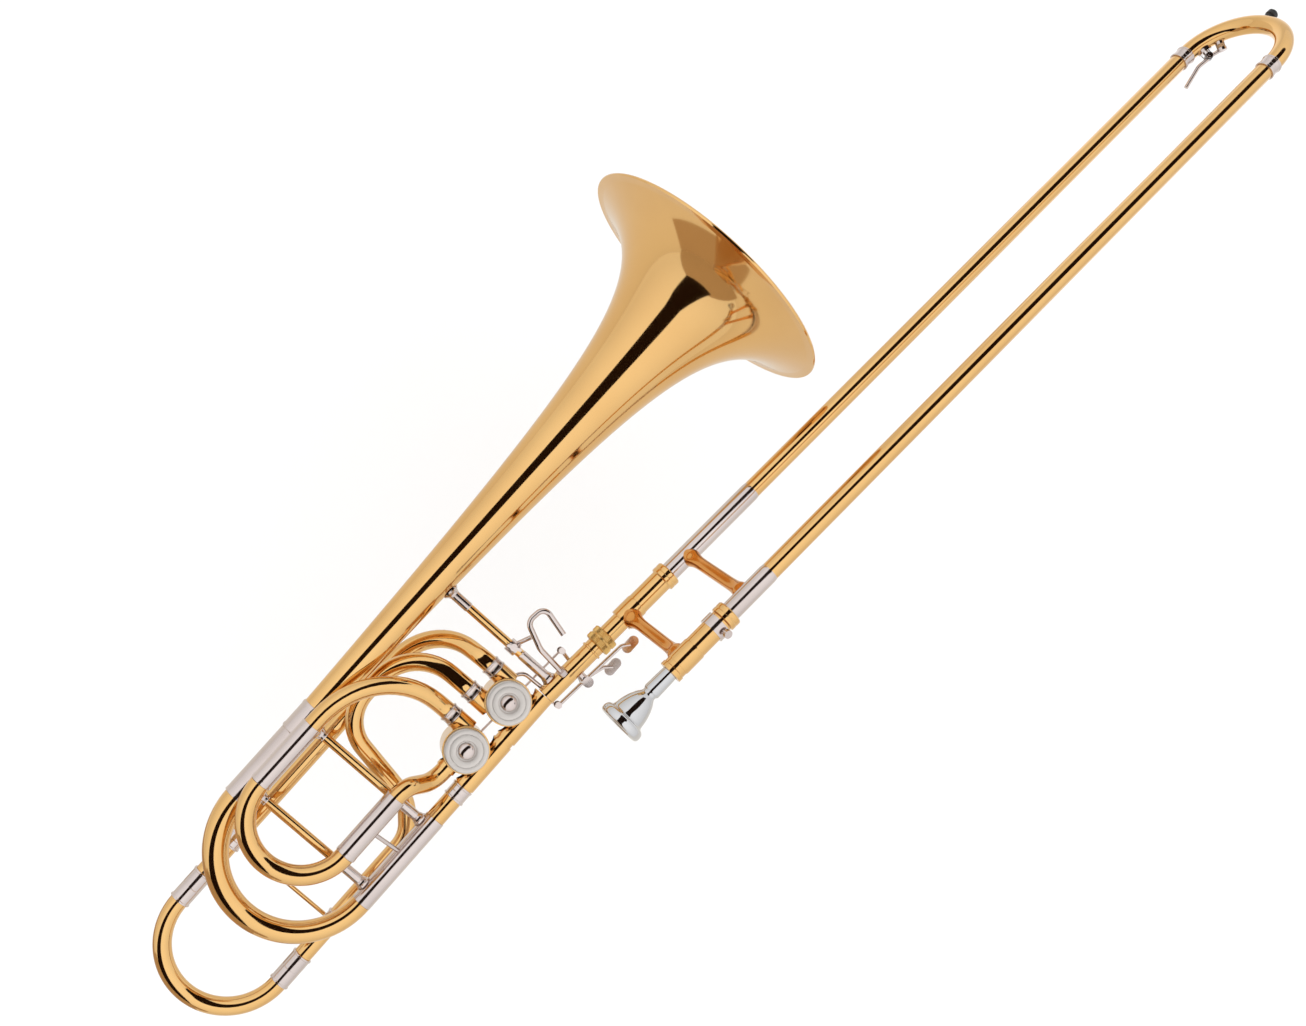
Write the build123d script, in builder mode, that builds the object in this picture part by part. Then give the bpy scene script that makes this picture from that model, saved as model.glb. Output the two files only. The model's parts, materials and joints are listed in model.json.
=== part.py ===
from build123d import *
import os
from math import cos, hypot, radians, sin

os.makedirs("parts", exist_ok=True)

# Bass trombone with two in-line rotary valves, in playing attitude, in millimetres.
# Row frame: the origin is on the axis of the hand slide's neck tube, at the joint between the
# slide and the bell section, where the left hand holds. +X runs along the hand slide towards
# its bow, +Y towards the bell, +Z up.

# ---------------------------------------------------------------- driving dimensions
SLIDE_GAP = 90.4            # between the two tubes of the hand slide
SLIDE_TILT = 60.6           # degrees the slide's plane is rolled up from the bell section
BELL_SPREAD = 3.62          # degrees between the bell and the hand slide
VALVE_1_BACK = 97.4         # the first valve, behind the slide joint
VALVE_PITCH = 52.0          # first valve to second valve
ROTOR_SIDE = 21.5           # rotor axis, beside the main tubing

BELL_RIM_RADIUS = 120.65    # 9.5 inch bell
BELL_RIM_X = 379.6          # rim, ahead of the first valve
BELL_Y = 133.9              # bell axis to tuning slide leg
BELL_WALL = 0.9
BELL_FLARE_LENGTH = 23.7
BELL_FLARE_POWER = -0.7
BELL_TAIL_X = -107.2
BELL_TAPER = 2.0

OUTER_TUBE = 7.95           # hand slide outer tube, outside radius
OUTER_BORE = 7.5
INNER_TUBE = 7.42
INNER_BORE = 7.1
OUTER_START = 50.0          # end of the outer tubes inside the cork barrels
OUTER_END = 740.0
INNER_END = 728.0
SLIDE_SLEEVE = 8.45         # nickel oversleeves
NECK_SLEEVE_END = 177.0
MOUTH_SLEEVE_END = 124.0
INNER_BRACE_X = 25.0
OUTER_BRACE_X = 97.4

MAIN_TUBE = 8.3             # neckpipe and main tubing, outside radius
MAIN_BORE = 7.15
LEG_SLEEVE = 8.9            # fixed nickel sleeves of the pull slides
LEG_SLEEVE_BORE = 7.6
LEG_INNER = 7.52
BELL_SLEEVE = 12.2
BELL_SLEEVE_BORE = 10.6
BELL_INNER = 10.52
SLEEVE_END_X = -203.0       # main tuning slide joint
BOW_START = 11.3
BOW_FINISH = 8.7

LOOP_TUBE = 7.8             # loop tubing
LOOP_BORE = 7.1
F_LEG_Y = 110.5
F_RETURN_Y = 2.2
F_Z = -34.0
F_BOW_X = -303.2
F_JOINT_X = -228.0
D_LEG_Y = 129.5
D_RETURN_Y = 40.1
D_Z = 27.0
D_SLEEVE_START = -117.0
D_SLEEVE_END = -178.0

CASING = 19.3
CASING_HALF = 20.0
CHAMBER = 16.5
CHAMBER_HALF = 13.0
ROTOR = 16.42
ROTOR_HALF = 12.9
SHAFT = 4.0
RUNNING = 0.06
HOUSING = 9.3
HOUSING_HALF = 24.0
PORT_SIDE = 13.5
PORT_REACH = 43.0
PORT_TUBE = 8.7
PORT_BORE = 6.7

LEVER_PIVOT = (57.0, -20.4)
LEVER_TURN = 21.75          # degrees of lever for a quarter turn of the rotor
LEVER_ARM = 31.0
STOP_ARM = 8.27
LEVER_Z = (-14.5, -20.5)
ARM_Z = -25.8
LINK_Z = (-22.0, -30.2)

# ---------------------------------------------------------------- frames and helpers
spread = radians(BELL_SPREAD)
tilt = radians(SLIDE_TILT)
bell_frame = Plane(origin=(-VALVE_1_BACK, 0, 0), x_dir=(cos(spread), sin(spread), 0), z_dir=(0, 0, 1))
slide_frame = Plane(origin=(0, 0, 0), x_dir=(1, 0, 0), z_dir=(0, -sin(tilt), -cos(tilt)))


def bell_at(x, y, z=0.0):
    """A point given in the bell section's frame, centred on the first valve."""
    return bell_frame.from_local_coords(Vector(x, y, z))


def slide_at(x, across, behind=0.0):
    """A point in the hand slide's plane: along it, across it and behind it."""
    return slide_frame.from_local_coords(Vector(x, across, behind))


def square_to(direction):
    """A unit vector at right angles to a direction."""
    upright = Vector(0, 0, 1) if abs(direction.Z) < 0.9 else Vector(0, 1, 0)
    return direction.cross(upright).normalized()


def rod(start, end, radius, bore=0.0):
    """A straight round bar or tube from one point to another."""
    direction = Vector(end) - Vector(start)
    with BuildPart() as piece:
        with BuildSketch(Plane(origin=start, z_dir=direction)):
            Circle(radius)
            if bore:
                Circle(bore, mode=Mode.SUBTRACT)
        extrude(amount=direction.length)
    return piece


def pipe(corners, bends, radius, bore=0.0):
    """A round tube or wire through corners that are bent to the given radii."""
    with BuildPart() as piece:
        with BuildLine() as route:
            FilletPolyline(*corners, radius=bends)
        with BuildSketch(Plane(origin=route.line @ 0, z_dir=route.line % 0)):
            Circle(radius)
            if bore:
                Circle(bore, mode=Mode.SUBTRACT)
        sweep()
    return piece


def bow(centre, first_leg, away, radius, bore):
    """A half-circle tube: centre of the bend, start of its first leg, direction of its crown."""
    middle = Vector(centre)
    start = Vector(first_leg)
    reach = (start - middle).length
    crown = middle + Vector(away).normalized() * reach
    with BuildPart() as piece:
        with BuildLine() as route:
            ThreePointArc(start, crown, middle * 2 - start)
        with BuildSketch(Plane(origin=route.line @ 0, z_dir=route.line % 0)):
            Circle(radius)
            Circle(bore, mode=Mode.SUBTRACT)
        sweep()
    return piece


def turned(start, toward, outline):
    """Revolve (distance, radius) points about the line from start towards another point."""
    direction = (Vector(toward) - Vector(start)).normalized()
    with BuildPart() as piece:
        with BuildSketch(Plane(origin=start, x_dir=direction, z_dir=square_to(direction))):
            with BuildLine():
                Polyline(*outline, close=True)
            make_face()
        revolve(axis=Axis(start, direction))
    return piece


def group(*members):
    """Separate solids that share one node."""
    with BuildPart() as node:
        for member in members:
            add(member.part)
    return node


def joined(base, extras=(), cuts=()):
    """One solid made of a base, what is soldered to it and what is bored out of it."""
    with BuildPart() as node:
        add(base.part)
        for extra in extras:
            add(extra.part)
        for cut in cuts:
            add(cut.part, mode=Mode.SUBTRACT)
    return node


def stepped_ring(start, toward, length, radius, bore):
    """A ferrule: a ring with a low bead at each end and a plain middle."""
    edge = min(1.6, length / 4)
    outline = [(0, bore), (0, radius + 0.3), (0.3, radius + 0.6), (edge, radius + 0.6), (edge + 0.3, radius)]
    outline += [(length - edge - 0.3, radius), (length - edge, radius + 0.6), (length - 0.3, radius + 0.6)]
    outline += [(length, radius + 0.3), (length, bore)]
    return turned(start, toward, outline)


pieces = {}

# ---------------------------------------------------------------- bell
def bell_radius(behind):
    """Outside radius of the bell at a distance behind the rim."""
    flare = ((behind + BELL_FLARE_LENGTH) / BELL_FLARE_LENGTH) ** BELL_FLARE_POWER
    tail = (behind / (BELL_RIM_X - BELL_TAIL_X)) ** 2
    return BELL_RIM_RADIUS * flare - BELL_TAPER * tail


def bell_point(behind, depth):
    """A point of the bell's outline, at a depth below its outside surface."""
    step = 0.01
    slope = (bell_radius(behind) - bell_radius(behind + step)) / step
    norm = hypot(1, slope)
    along = BELL_RIM_X - behind + depth * slope / norm
    return (along, bell_radius(behind) - depth / norm)


BELL_LENGTH = BELL_RIM_X - BELL_TAIL_X
BELL_STATIONS = 18
RIM_BEAD = 1.9
stations = [0.55 + (BELL_LENGTH - 0.55) * (i / BELL_STATIONS) ** 2.6 for i in range(BELL_STATIONS + 1)]
bell_axis_plane = Plane(origin=bell_at(0, BELL_Y), x_dir=bell_frame.x_dir, z_dir=(0, 0, 1))
bell_axis = Axis(bell_at(0, BELL_Y), bell_frame.x_dir)
with BuildPart() as bell:
    with BuildSketch(bell_axis_plane):
        with BuildLine():
            outside = [bell_point(behind, 0) for behind in stations]
            inside = [bell_point(behind, BELL_WALL) for behind in stations]
            Spline(*outside)
            Spline(*inside)
            Line(outside[0], inside[0])
            Line(outside[-1], inside[-1])
        make_face()
    revolve(axis=bell_axis)
    with BuildSketch(bell_axis_plane):
        with Locations((BELL_RIM_X - 0.6, BELL_RIM_RADIUS - RIM_BEAD)):
            Circle(RIM_BEAD)
    revolve(axis=bell_axis)
pieces["bell"] = bell

# ---------------------------------------------------------------- main tuning slide
SLEEVE_LENGTH = BELL_TAIL_X - SLEEVE_END_X
SLEEVE_RIM = 12.7
SLEEVE_BEAD = 13.1
pieces["bell_leg_sleeve"] = turned(
    bell_at(BELL_TAIL_X, BELL_Y), bell_at(SLEEVE_END_X, BELL_Y),
    [(0, BELL_SLEEVE_BORE), (0, 12.5), (0.8, SLEEVE_BEAD), (3.0, SLEEVE_BEAD), (4.0, SLEEVE_RIM),
     (24.0, SLEEVE_RIM), (25.0, SLEEVE_BEAD), (27.0, SLEEVE_BEAD), (28.0, BELL_SLEEVE),
     (SLEEVE_LENGTH - 2, BELL_SLEEVE), (SLEEVE_LENGTH, 12.6), (SLEEVE_LENGTH, BELL_SLEEVE_BORE)])

NECK_SLEEVE_START = -112.0
pieces["neck_leg_sleeve"] = rod(bell_at(NECK_SLEEVE_START, 0), bell_at(SLEEVE_END_X, 0), LEG_SLEEVE,
                                LEG_SLEEVE_BORE)
pieces["neck_leg_tube"] = rod(bell_at(-VALVE_PITCH - HOUSING_HALF, 0), bell_at(NECK_SLEEVE_START, 0),
                              MAIN_TUBE, MAIN_BORE)

# The bow tapers all the way from the bell leg to the neck leg.
bow_centre = bell_at(SLEEVE_END_X - 0.2, BELL_Y / 2)
bow_start = bell_at(SLEEVE_END_X - 0.2, BELL_Y)
bow_finish = bell_at(SLEEVE_END_X - 0.2, 0)
bow_crown = bell_at(SLEEVE_END_X - 0.2 - BELL_Y / 2, BELL_Y / 2)
BOW_SECTIONS = 5


def tapered_bow(first, last):
    """The half-circle bow as a solid cone-like bend between two radii."""
    with BuildPart() as piece:
        with BuildLine() as route:
            ThreePointArc(bow_start, bow_crown, bow_finish)
        for i in range(BOW_SECTIONS):
            part_way = i / (BOW_SECTIONS - 1)
            with BuildSketch(Plane(origin=route.line @ part_way, z_dir=route.line % part_way)):
                Circle(first + (last - first) * part_way)
        sweep(multisection=True)
    return piece


BOW_WALL = 0.8
pieces["tuning_bow"] = joined(tapered_bow(BOW_START, BOW_FINISH), (),
                              (tapered_bow(BOW_START - BOW_WALL, BOW_FINISH - BOW_WALL),))
TUNING_TUBE = 80.0
pieces["tuning_inner_tubes"] = group(
    rod(bow_start, bell_at(SLEEVE_END_X + TUNING_TUBE, BELL_Y), BELL_INNER, BELL_INNER - 0.6),
    rod(bow_finish, bell_at(SLEEVE_END_X + TUNING_TUBE, 0), LEG_INNER, MAIN_BORE - 0.1))

# ---------------------------------------------------------------- braces of the bell section
BRACE = 3.9
BRACE_STATIONS = (-120.6, -190.0)
BELL_END = 8.0              # brace end on the bell leg
NECK_END_LENGTH = 24.0      # brace end on the neck leg


def brace_end(at, toward, length, radius, foot):
    """A nickel brace end: a round foot that hollows to a socket."""
    flare = [(-0.8, 0), (-0.8, foot), (0.6, foot), (1.6, foot - 0.9), (3.0, radius + 1.3), (5.0, radius + 0.5)]
    outline = flare + [(length - 1.0, radius + 0.5), (length, radius + 0.1), (length, 0)]
    return turned(at, toward, outline)


brace_tubes = []
brace_ends = []
for station, sleeve in zip(BRACE_STATIONS, (SLEEVE_RIM, BELL_SLEEVE)):
    upper = bell_at(station, BELL_Y - sleeve)
    lower = bell_at(station, LEG_SLEEVE)
    brace_ends.append(joined(brace_end(upper, lower, BELL_END, BRACE, 7.0), (),
                             (rod(bell_at(station - 20, BELL_Y), bell_at(station + 20, BELL_Y), sleeve),)))
    brace_ends.append(joined(brace_end(lower, upper, NECK_END_LENGTH, BRACE, 6.5), (),
                             (rod(bell_at(station - 20, 0), bell_at(station + 20, 0), LEG_SLEEVE),)))
    tube_start = bell_at(station, LEG_SLEEVE + NECK_END_LENGTH)
    brace_tubes.append(rod(tube_start, bell_at(station, BELL_Y - sleeve - BELL_END), BRACE))

# The bell brace runs from the bell to the neckpipe, which follows the hand slide's axis.
BELL_BRACE_X = 37.0
BELL_FOOT = 21.0
NECK_FOOT = 32.0
bell_wall_y = BELL_Y - bell_radius(BELL_RIM_X - BELL_BRACE_X)
neck_y = -BELL_BRACE_X * sin(spread) / cos(spread)
bell_foot = bell_at(BELL_BRACE_X, bell_wall_y)
neck_foot = bell_at(BELL_BRACE_X, neck_y + MAIN_TUBE)
neck_solid = rod((-VALVE_1_BACK, 0, 0), (0, 0, 0), MAIN_TUBE)
SOLID_START = -60
SOLID_END = 190
bell_profile = [(x - SOLID_START, bell_radius(BELL_RIM_X - x)) for x in range(SOLID_START, SOLID_END + 1, 10)]
bell_solid = turned(bell_at(SOLID_START, BELL_Y), bell_at(SOLID_END, BELL_Y),
                    [(0, 0)] + bell_profile + [(SOLID_END - SOLID_START, 0)])
brace_ends.append(joined(brace_end(bell_foot, neck_foot, BELL_FOOT, BRACE, 7.5), (), (bell_solid,)))
brace_ends.append(joined(brace_end(neck_foot, bell_foot, NECK_FOOT, BRACE, 6.5), (), (neck_solid,)))
brace_tubes.append(rod(bell_at(BELL_BRACE_X, neck_y + MAIN_TUBE + NECK_FOOT),
                       bell_at(BELL_BRACE_X, bell_wall_y - BELL_FOOT), BRACE))
pieces["brace_tubes"] = group(*brace_tubes)
pieces["brace_ends"] = group(*brace_ends)

# Thin stays: one from the lower loop slide to the neck leg, one from the first valve to the neckpipe.
STAY = 1.8
valve_stay = pipe([bell_at(17.5, 31.0, -3), bell_at(27.0, 25.0, -3), bell_at(28.0, 3.5, -3)], [8.0], STAY)
loop_stay = rod(bell_at(-151.0, D_RETURN_Y - 4.0, D_Z - 3.0), bell_at(-151.0, 4.0, 3.0), STAY)
pieces["thin_stays"] = group(
    joined(valve_stay, (), (rod(bell_at(0, ROTOR_SIDE, -20), bell_at(0, ROTOR_SIDE, 20), CASING),
                            rod(bell_at(PORT_SIDE, 20), bell_at(PORT_SIDE, PORT_REACH), PORT_TUBE),
                            rod(bell_at(0, 0), bell_at(HOUSING_HALF, 0), HOUSING), neck_solid)),
    joined(loop_stay, (), (rod(bell_at(-180, D_RETURN_Y, D_Z), bell_at(-110, D_RETURN_Y, D_Z), LEG_SLEEVE),
                           rod(bell_at(-180, 0), bell_at(-120, 0), LEG_SLEEVE))))

# ---------------------------------------------------------------- rotary valves
def valve_plane(x, z):
    """A plane across a rotor's axis at a height."""
    return Plane(origin=bell_at(x, ROTOR_SIDE, z), x_dir=bell_frame.x_dir, z_dir=(0, 0, 1))


def valve_casing(x, port_ends, port_bores):
    """A casing with the straight main housing beside it and its loop ports."""
    with BuildPart() as casing:
        with BuildSketch(valve_plane(x, -CASING_HALF)):
            Circle(CASING)
        extrude(amount=2 * CASING_HALF)
        add(rod(bell_at(x - HOUSING_HALF, 0), bell_at(x + HOUSING_HALF, 0), HOUSING).part)
        for start, end in port_ends:
            add(rod(start, end, PORT_TUBE).part)
        with BuildSketch(valve_plane(x, -CHAMBER_HALF)):
            Circle(CHAMBER)
        extrude(amount=CHAMBER_HALF + CASING_HALF, mode=Mode.SUBTRACT)
        with BuildSketch(valve_plane(x, -CASING_HALF)):
            Circle(SHAFT + RUNNING)
        extrude(amount=CASING_HALF - CHAMBER_HALF, mode=Mode.SUBTRACT)
        for start, end in port_bores:
            add(rod(start, end, PORT_BORE).part, mode=Mode.SUBTRACT)
    return casing


def main_bores(x):
    """The two slanting bores from the main tubing into the rotor chamber."""
    return [(bell_at(x + side * (HOUSING_HALF + 2), -1.5), bell_at(x + side * 8, 13.0)) for side in (-1, 1)]


loop_ends = [(bell_at(side * PORT_SIDE, 28), bell_at(side * PORT_SIDE, PORT_REACH)) for side in (-1, 1)]
loop_bores = [(bell_at(side * PORT_SIDE, PORT_REACH + 1), bell_at(side * (PORT_SIDE - 1), 28))
              for side in (-1, 1)]
pieces["valve_casing_1"] = valve_casing(0, loop_ends, loop_bores + main_bores(0))
v2 = -VALVE_PITCH
second_ends = [(bell_at(v2 + PORT_SIDE, 28), bell_at(v2 + PORT_SIDE, PORT_REACH)),
               (bell_at(v2 - 12, ROTOR_SIDE), bell_at(v2 - HOUSING_HALF, ROTOR_SIDE))]
second_bores = [(bell_at(v2 + PORT_SIDE, PORT_REACH + 1), bell_at(v2 + PORT_SIDE - 1, 28)),
                (bell_at(v2 - HOUSING_HALF - 1, ROTOR_SIDE), bell_at(v2 - 9, ROTOR_SIDE + 6))]
pieces["valve_casing_2"] = valve_casing(v2, second_ends, second_bores + main_bores(v2))

PASSAGE_OFFSET = CHAMBER * 2 ** 0.5
PASSAGE_WIDTH = 6.1
PASSAGE_HEIGHT = 7.2
ROTOR_TOP = 17.0
ROTOR_TAIL = -28.0


def rotor(x):
    """A rotor with two curved windways and a stepped shaft."""
    with BuildPart() as barrel:
        with BuildSketch(valve_plane(x, -ROTOR_HALF)):
            Circle(ROTOR)
        extrude(amount=2 * ROTOR_HALF)
        with BuildSketch(valve_plane(x, ROTOR_TAIL)):
            Circle(SHAFT)
        extrude(amount=-ROTOR_TAIL - ROTOR_HALF)
        with BuildSketch(valve_plane(x, ROTOR_HALF)):
            Circle(SHAFT - 0.5)
        extrude(amount=ROTOR_TOP - ROTOR_HALF)
        for side in (-1, 1):
            centre = bell_at(x, ROTOR_SIDE + side * PASSAGE_OFFSET, 0)
            across = bell_frame.y_dir * -side
            with BuildSketch(Plane(origin=centre, x_dir=across, z_dir=across.cross(Vector(0, 0, 1)))):
                with Locations((CHAMBER, 0)):
                    Ellipse(PASSAGE_WIDTH, PASSAGE_HEIGHT)
            revolve(axis=Axis(centre, (0, 0, 1)), mode=Mode.SUBTRACT)
    return barrel


def valve_cap(x):
    """A screwed front cap with a domed boss."""
    return turned(bell_at(x, ROTOR_SIDE, CASING_HALF), bell_at(x, ROTOR_SIDE, CASING_HALF + 10),
                  [(0, 0), (0, 18.0), (0.6, 18.8), (3.4, 18.8), (4.4, 17.9), (4.4, 8.0), (3.9, 7.4), (3.9, 6.2),
                   (4.4, 5.5), (6.6, 5.3), (7.8, 4.4), (8.5, 2.8), (8.8, 0)])


def bearing_plate(x):
    """The plate that carries the rotor's upper shaft, seated inside the casing."""
    return rod(bell_at(x, ROTOR_SIDE, CHAMBER_HALF + 0.2), bell_at(x, ROTOR_SIDE, CASING_HALF - 1.0), CHAMBER,
               SHAFT - 0.5 + RUNNING)


pieces["rotor_1"] = rotor(0)
pieces["rotor_2"] = rotor(v2)
pieces["valve_caps"] = group(valve_cap(0), valve_cap(v2))
pieces["bearing_plates"] = group(bearing_plate(0), bearing_plate(v2))


def direction_at(angle):
    """A unit vector in the bell section's plane."""
    return bell_frame.x_dir * cos(radians(angle)) + bell_frame.y_dir * sin(radians(angle))


def stop_arm(x, angle):
    """A stop arm clamped on the shaft, with its ball at the link."""
    centre = bell_at(x, ROTOR_SIDE, ARM_Z)
    tip = centre + direction_at(angle) * STOP_ARM
    up = Vector(0, 0, 1)
    return joined(rod(centre - up * 1.6, centre + up * 1.6, 5.8),
                  (rod(tip - up * 1.6, tip + up * 1.6, 2.6),),
                  (rod(centre - up * 5, centre + up * 5, SHAFT),))


pieces["stop_arm_1"] = stop_arm(0, 45)
pieces["stop_arm_2"] = stop_arm(v2, -45)

pieces["valve_joint_tube"] = rod(bell_at(v2 + HOUSING_HALF, 0), bell_at(-HOUSING_HALF, 0), MAIN_TUBE,
                                 MAIN_BORE)
FERRULE = 9.0
PORT_FERRULE = 8.6
LOOP_START = PORT_REACH + 0.2
port_rings = [stepped_ring(bell_at(x, LOOP_START), bell_at(x, LOOP_START + 50), 9.0, PORT_FERRULE, LOOP_TUBE)
              for x in (PORT_SIDE, -PORT_SIDE, v2 + PORT_SIDE)]
neck_ring = stepped_ring(bell_at(v2 - HOUSING_HALF - 1, 0), bell_at(v2 - 60, 0), 13.0, FERRULE, MAIN_TUBE)
pieces["valve_ferrules"] = group(neck_ring, *port_rings)

# ---------------------------------------------------------------- neckpipe and slide joint
neck_start = bell_at(HOUSING_HALF, 0)
NECK_END = -4.0
pieces["neckpipe"] = rod((neck_start.X + 0.6, 0, 0), (NECK_END, 0, 0), MAIN_TUBE, MAIN_BORE)
pieces["neckpipe_ring"] = turned((-19.5, 0, 0), (0, 0, 0),
                                 [(0, MAIN_TUBE), (0, 9.0), (0.4, 9.4), (1.6, 9.4), (2.0, 9.0), (2.0, MAIN_TUBE)])
NUT_START = -12.5
NUT_LENGTH = 13.0
NUT_RADIUS = 11.8
KNURLS = 30
with BuildPart() as lock_nut:
    with BuildSketch(Plane(origin=(NUT_START, 0, 0), z_dir=(1, 0, 0))):
        Circle(NUT_RADIUS)
        Circle(MAIN_TUBE + 0.1, mode=Mode.SUBTRACT)
        with PolarLocations(NUT_RADIUS + 0.35, KNURLS):
            Circle(0.85, mode=Mode.SUBTRACT)
    extrude(amount=NUT_LENGTH)
pieces["lock_nut"] = lock_nut

# ---------------------------------------------------------------- hand slide, fixed half
BARREL = 9.8
BARREL_BORE = 8.75
BARREL_RING = 11.6
BARREL_FLOOR = 40.0
receiver = rod((NECK_END + 0.1, 0, 0), (17.3, 0, 0), MAIN_TUBE, MAIN_BORE)


def cork_barrel(across, start, mouth, bore, collar):
    """A barrel closed on the inner tube at one end, with a flange ring at its mouth."""
    length = mouth - start
    floor = BARREL_FLOOR - start
    return turned(slide_at(start, across), slide_at(mouth, across),
                  [(0, bore), (0, BARREL + 0.7), (collar, BARREL + 0.7), (collar + 0.4, BARREL),
                   (length - 10, BARREL), (length - 9, BARREL_RING), (length - 1, BARREL_RING), (length, BARREL_RING - 0.8),
                   (length, BARREL_BORE), (floor, BARREL_BORE), (floor, bore)])


pieces["neck_cork_barrel"] = joined(cork_barrel(0, 17.2, 76.0, INNER_TUBE, 0.9), (receiver,))
pieces["mouth_cork_barrel"] = cork_barrel(SLIDE_GAP, 9.0, 78.0, INNER_TUBE, 4.0)
pieces["inner_slide_tubes"] = group(
    rod(slide_at(17.4, 0), slide_at(INNER_END, 0), INNER_TUBE, INNER_BORE),
    rod(slide_at(9.2, SLIDE_GAP), slide_at(INNER_END, SLIDE_GAP), INNER_TUBE, INNER_BORE))
LEADPIPE_START = 9.4
LEADPIPE_LENGTH = 210.0
pieces["leadpipe"] = turned(slide_at(LEADPIPE_START, SLIDE_GAP), slide_at(INNER_END, SLIDE_GAP),
                            [(0, 6.75), (0, INNER_BORE), (LEADPIPE_LENGTH, INNER_BORE), (LEADPIPE_LENGTH, 6.95),
                             (60, 5.9), (32, 6.25)])


COLLAR = 6.6
GRIP = 5.4


def grip_brace(x, near, far, waist):
    """A hand grip between the two slide tubes: a bar that flares into a collar at each end."""
    length = SLIDE_GAP - near - far
    flare = [(0, COLLAR), (2.0, COLLAR - 0.1), (4.5, waist + 0.3), (9.0, waist)]
    outline = [(-2.0, 0), (-2.0, COLLAR)] + flare + [(length - d, r) for d, r in reversed(flare)]
    outline += [(length + 2.0, COLLAR), (length + 2.0, 0)]
    bar = turned(slide_at(x, near), slide_at(x, SLIDE_GAP), outline)
    cuts = [rod(slide_at(x - 20, across), slide_at(x + 20, across), radius)
            for across, radius in ((0, near), (SLIDE_GAP, far))]
    return joined(bar, (), cuts)


pieces["inner_slide_brace"] = grip_brace(INNER_BRACE_X, BARREL, BARREL, GRIP)

LOCK_START = 56.0
KNOB_X = LOCK_START + 6
KNOB_NECK = SLIDE_GAP + BARREL + 0.9
KNOB_BASE = SLIDE_GAP + BARREL + 4.5
KNOB_TOP = SLIDE_GAP + BARREL + 8.0
with BuildPart() as lock_ring:
    with BuildSketch(Plane(origin=slide_at(LOCK_START, SLIDE_GAP), x_dir=slide_frame.y_dir, z_dir=(1, 0, 0))):
        Circle(BARREL + 1.7)
        Circle(BARREL + 0.05, mode=Mode.SUBTRACT)
    extrude(amount=10.0)
    add(rod(slide_at(KNOB_X, KNOB_NECK), slide_at(KNOB_X, KNOB_BASE), 2.2).part)
    add(rod(slide_at(KNOB_X, KNOB_BASE), slide_at(KNOB_X, KNOB_TOP), 3.6).part)
pieces["slide_lock_ring"] = lock_ring

# ---------------------------------------------------------------- hand slide, moving half
BOTH_SIDES = (0, SLIDE_GAP)
outer_tubes = [rod(slide_at(OUTER_START, side), slide_at(OUTER_END, side), OUTER_TUBE, OUTER_BORE)
               for side in BOTH_SIDES]
pieces["outer_slide_tubes"] = group(*outer_tubes)
pieces["slide_sleeves"] = group(
    rod(slide_at(OUTER_START, 0), slide_at(NECK_SLEEVE_END, 0), SLIDE_SLEEVE, OUTER_TUBE),
    rod(slide_at(OUTER_START, SLIDE_GAP), slide_at(MOUTH_SLEEVE_END, SLIDE_GAP), SLIDE_SLEEVE, OUTER_TUBE))
pieces["outer_slide_brace"] = grip_brace(OUTER_BRACE_X, SLIDE_SLEEVE, SLIDE_SLEEVE, GRIP)
BOW_CENTRE_X = OUTER_END + 2
bow_middle = slide_at(BOW_CENTRE_X, SLIDE_GAP / 2)
bow_leg = slide_at(BOW_CENTRE_X, 0)
pieces["slide_bow"] = bow(bow_middle, bow_leg, (1, 0, 0), OUTER_TUBE, OUTER_BORE)
bow_rings = [stepped_ring(slide_at(OUTER_END - 9, side), slide_at(BOW_CENTRE_X, side), 11.0, SLIDE_SLEEVE,
                          OUTER_TUBE) for side in BOTH_SIDES]
pieces["slide_bow_ferrules"] = group(*bow_rings)
bow_solid = bow(bow_middle, bow_leg, (1, 0, 0), OUTER_TUBE, OUTER_TUBE - 4)
crown_x = BOW_CENTRE_X + SLIDE_GAP / 2 + OUTER_TUBE
bumper = turned(slide_at(crown_x - 1.0, SLIDE_GAP / 2), slide_at(crown_x + 10, SLIDE_GAP / 2),
                [(0, 0), (0, 4.4), (2.2, 4.4), (2.6, 3.8), (3.6, 3.8), (4.2, 5.0), (8.0, 4.8), (9.3, 3.4),
                 (9.8, 0)])
pieces["slide_bumper"] = joined(bumper, (), (bow_solid,))

# ---------------------------------------------------------------- water key
# The key sits under the bend near the neck tube. Its plane holds the tube's run and points
# away from the tube, towards the inside and back of the bow.
KEY_ANGLE = 19.0
KEY_OUT = 14.5
reach = SLIDE_GAP / 2


def bow_line(angle):
    """Centre, run direction and outward direction of the bow's neck side at an angle round it."""
    turn = radians(angle)
    centre = slide_at(BOW_CENTRE_X + reach * sin(turn), reach - reach * cos(turn))
    run = slide_frame.x_dir * cos(turn) + slide_frame.y_dir * sin(turn)
    inward = slide_frame.y_dir * cos(turn) - slide_frame.x_dir * sin(turn)
    out = (inward + slide_frame.z_dir).normalized()
    return centre, run, out


key_base, key_run, key_out = bow_line(KEY_ANGLE)
key_pivot = key_base + key_out * KEY_OUT
key_side = key_run.cross(key_out)
nipple_base, nipple_run, nipple_out = bow_line(KEY_ANGLE + 20)
key_cup = nipple_base + nipple_out * (OUTER_TUBE + 3.4)
LUG_THICK = 1.6
PIN = 1.2
hinge_lugs = []
lug_posts = []
for lug in (-5.2, 3.6):
    lug_middle = key_side * (lug + LUG_THICK / 2)
    hinge_lugs.append(rod(key_pivot + key_side * lug, key_pivot + key_side * (lug + LUG_THICK), 2.6))
    lug_foot = key_base + key_out * (OUTER_TUBE - 1) + lug_middle
    lug_posts.append(rod(lug_foot, key_pivot + lug_middle, LUG_THICK / 2))
saddle_foot = rod(key_base + key_out * (OUTER_TUBE - 1.5), key_base + key_out * (OUTER_TUBE + 1.6), 6.2)
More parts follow.
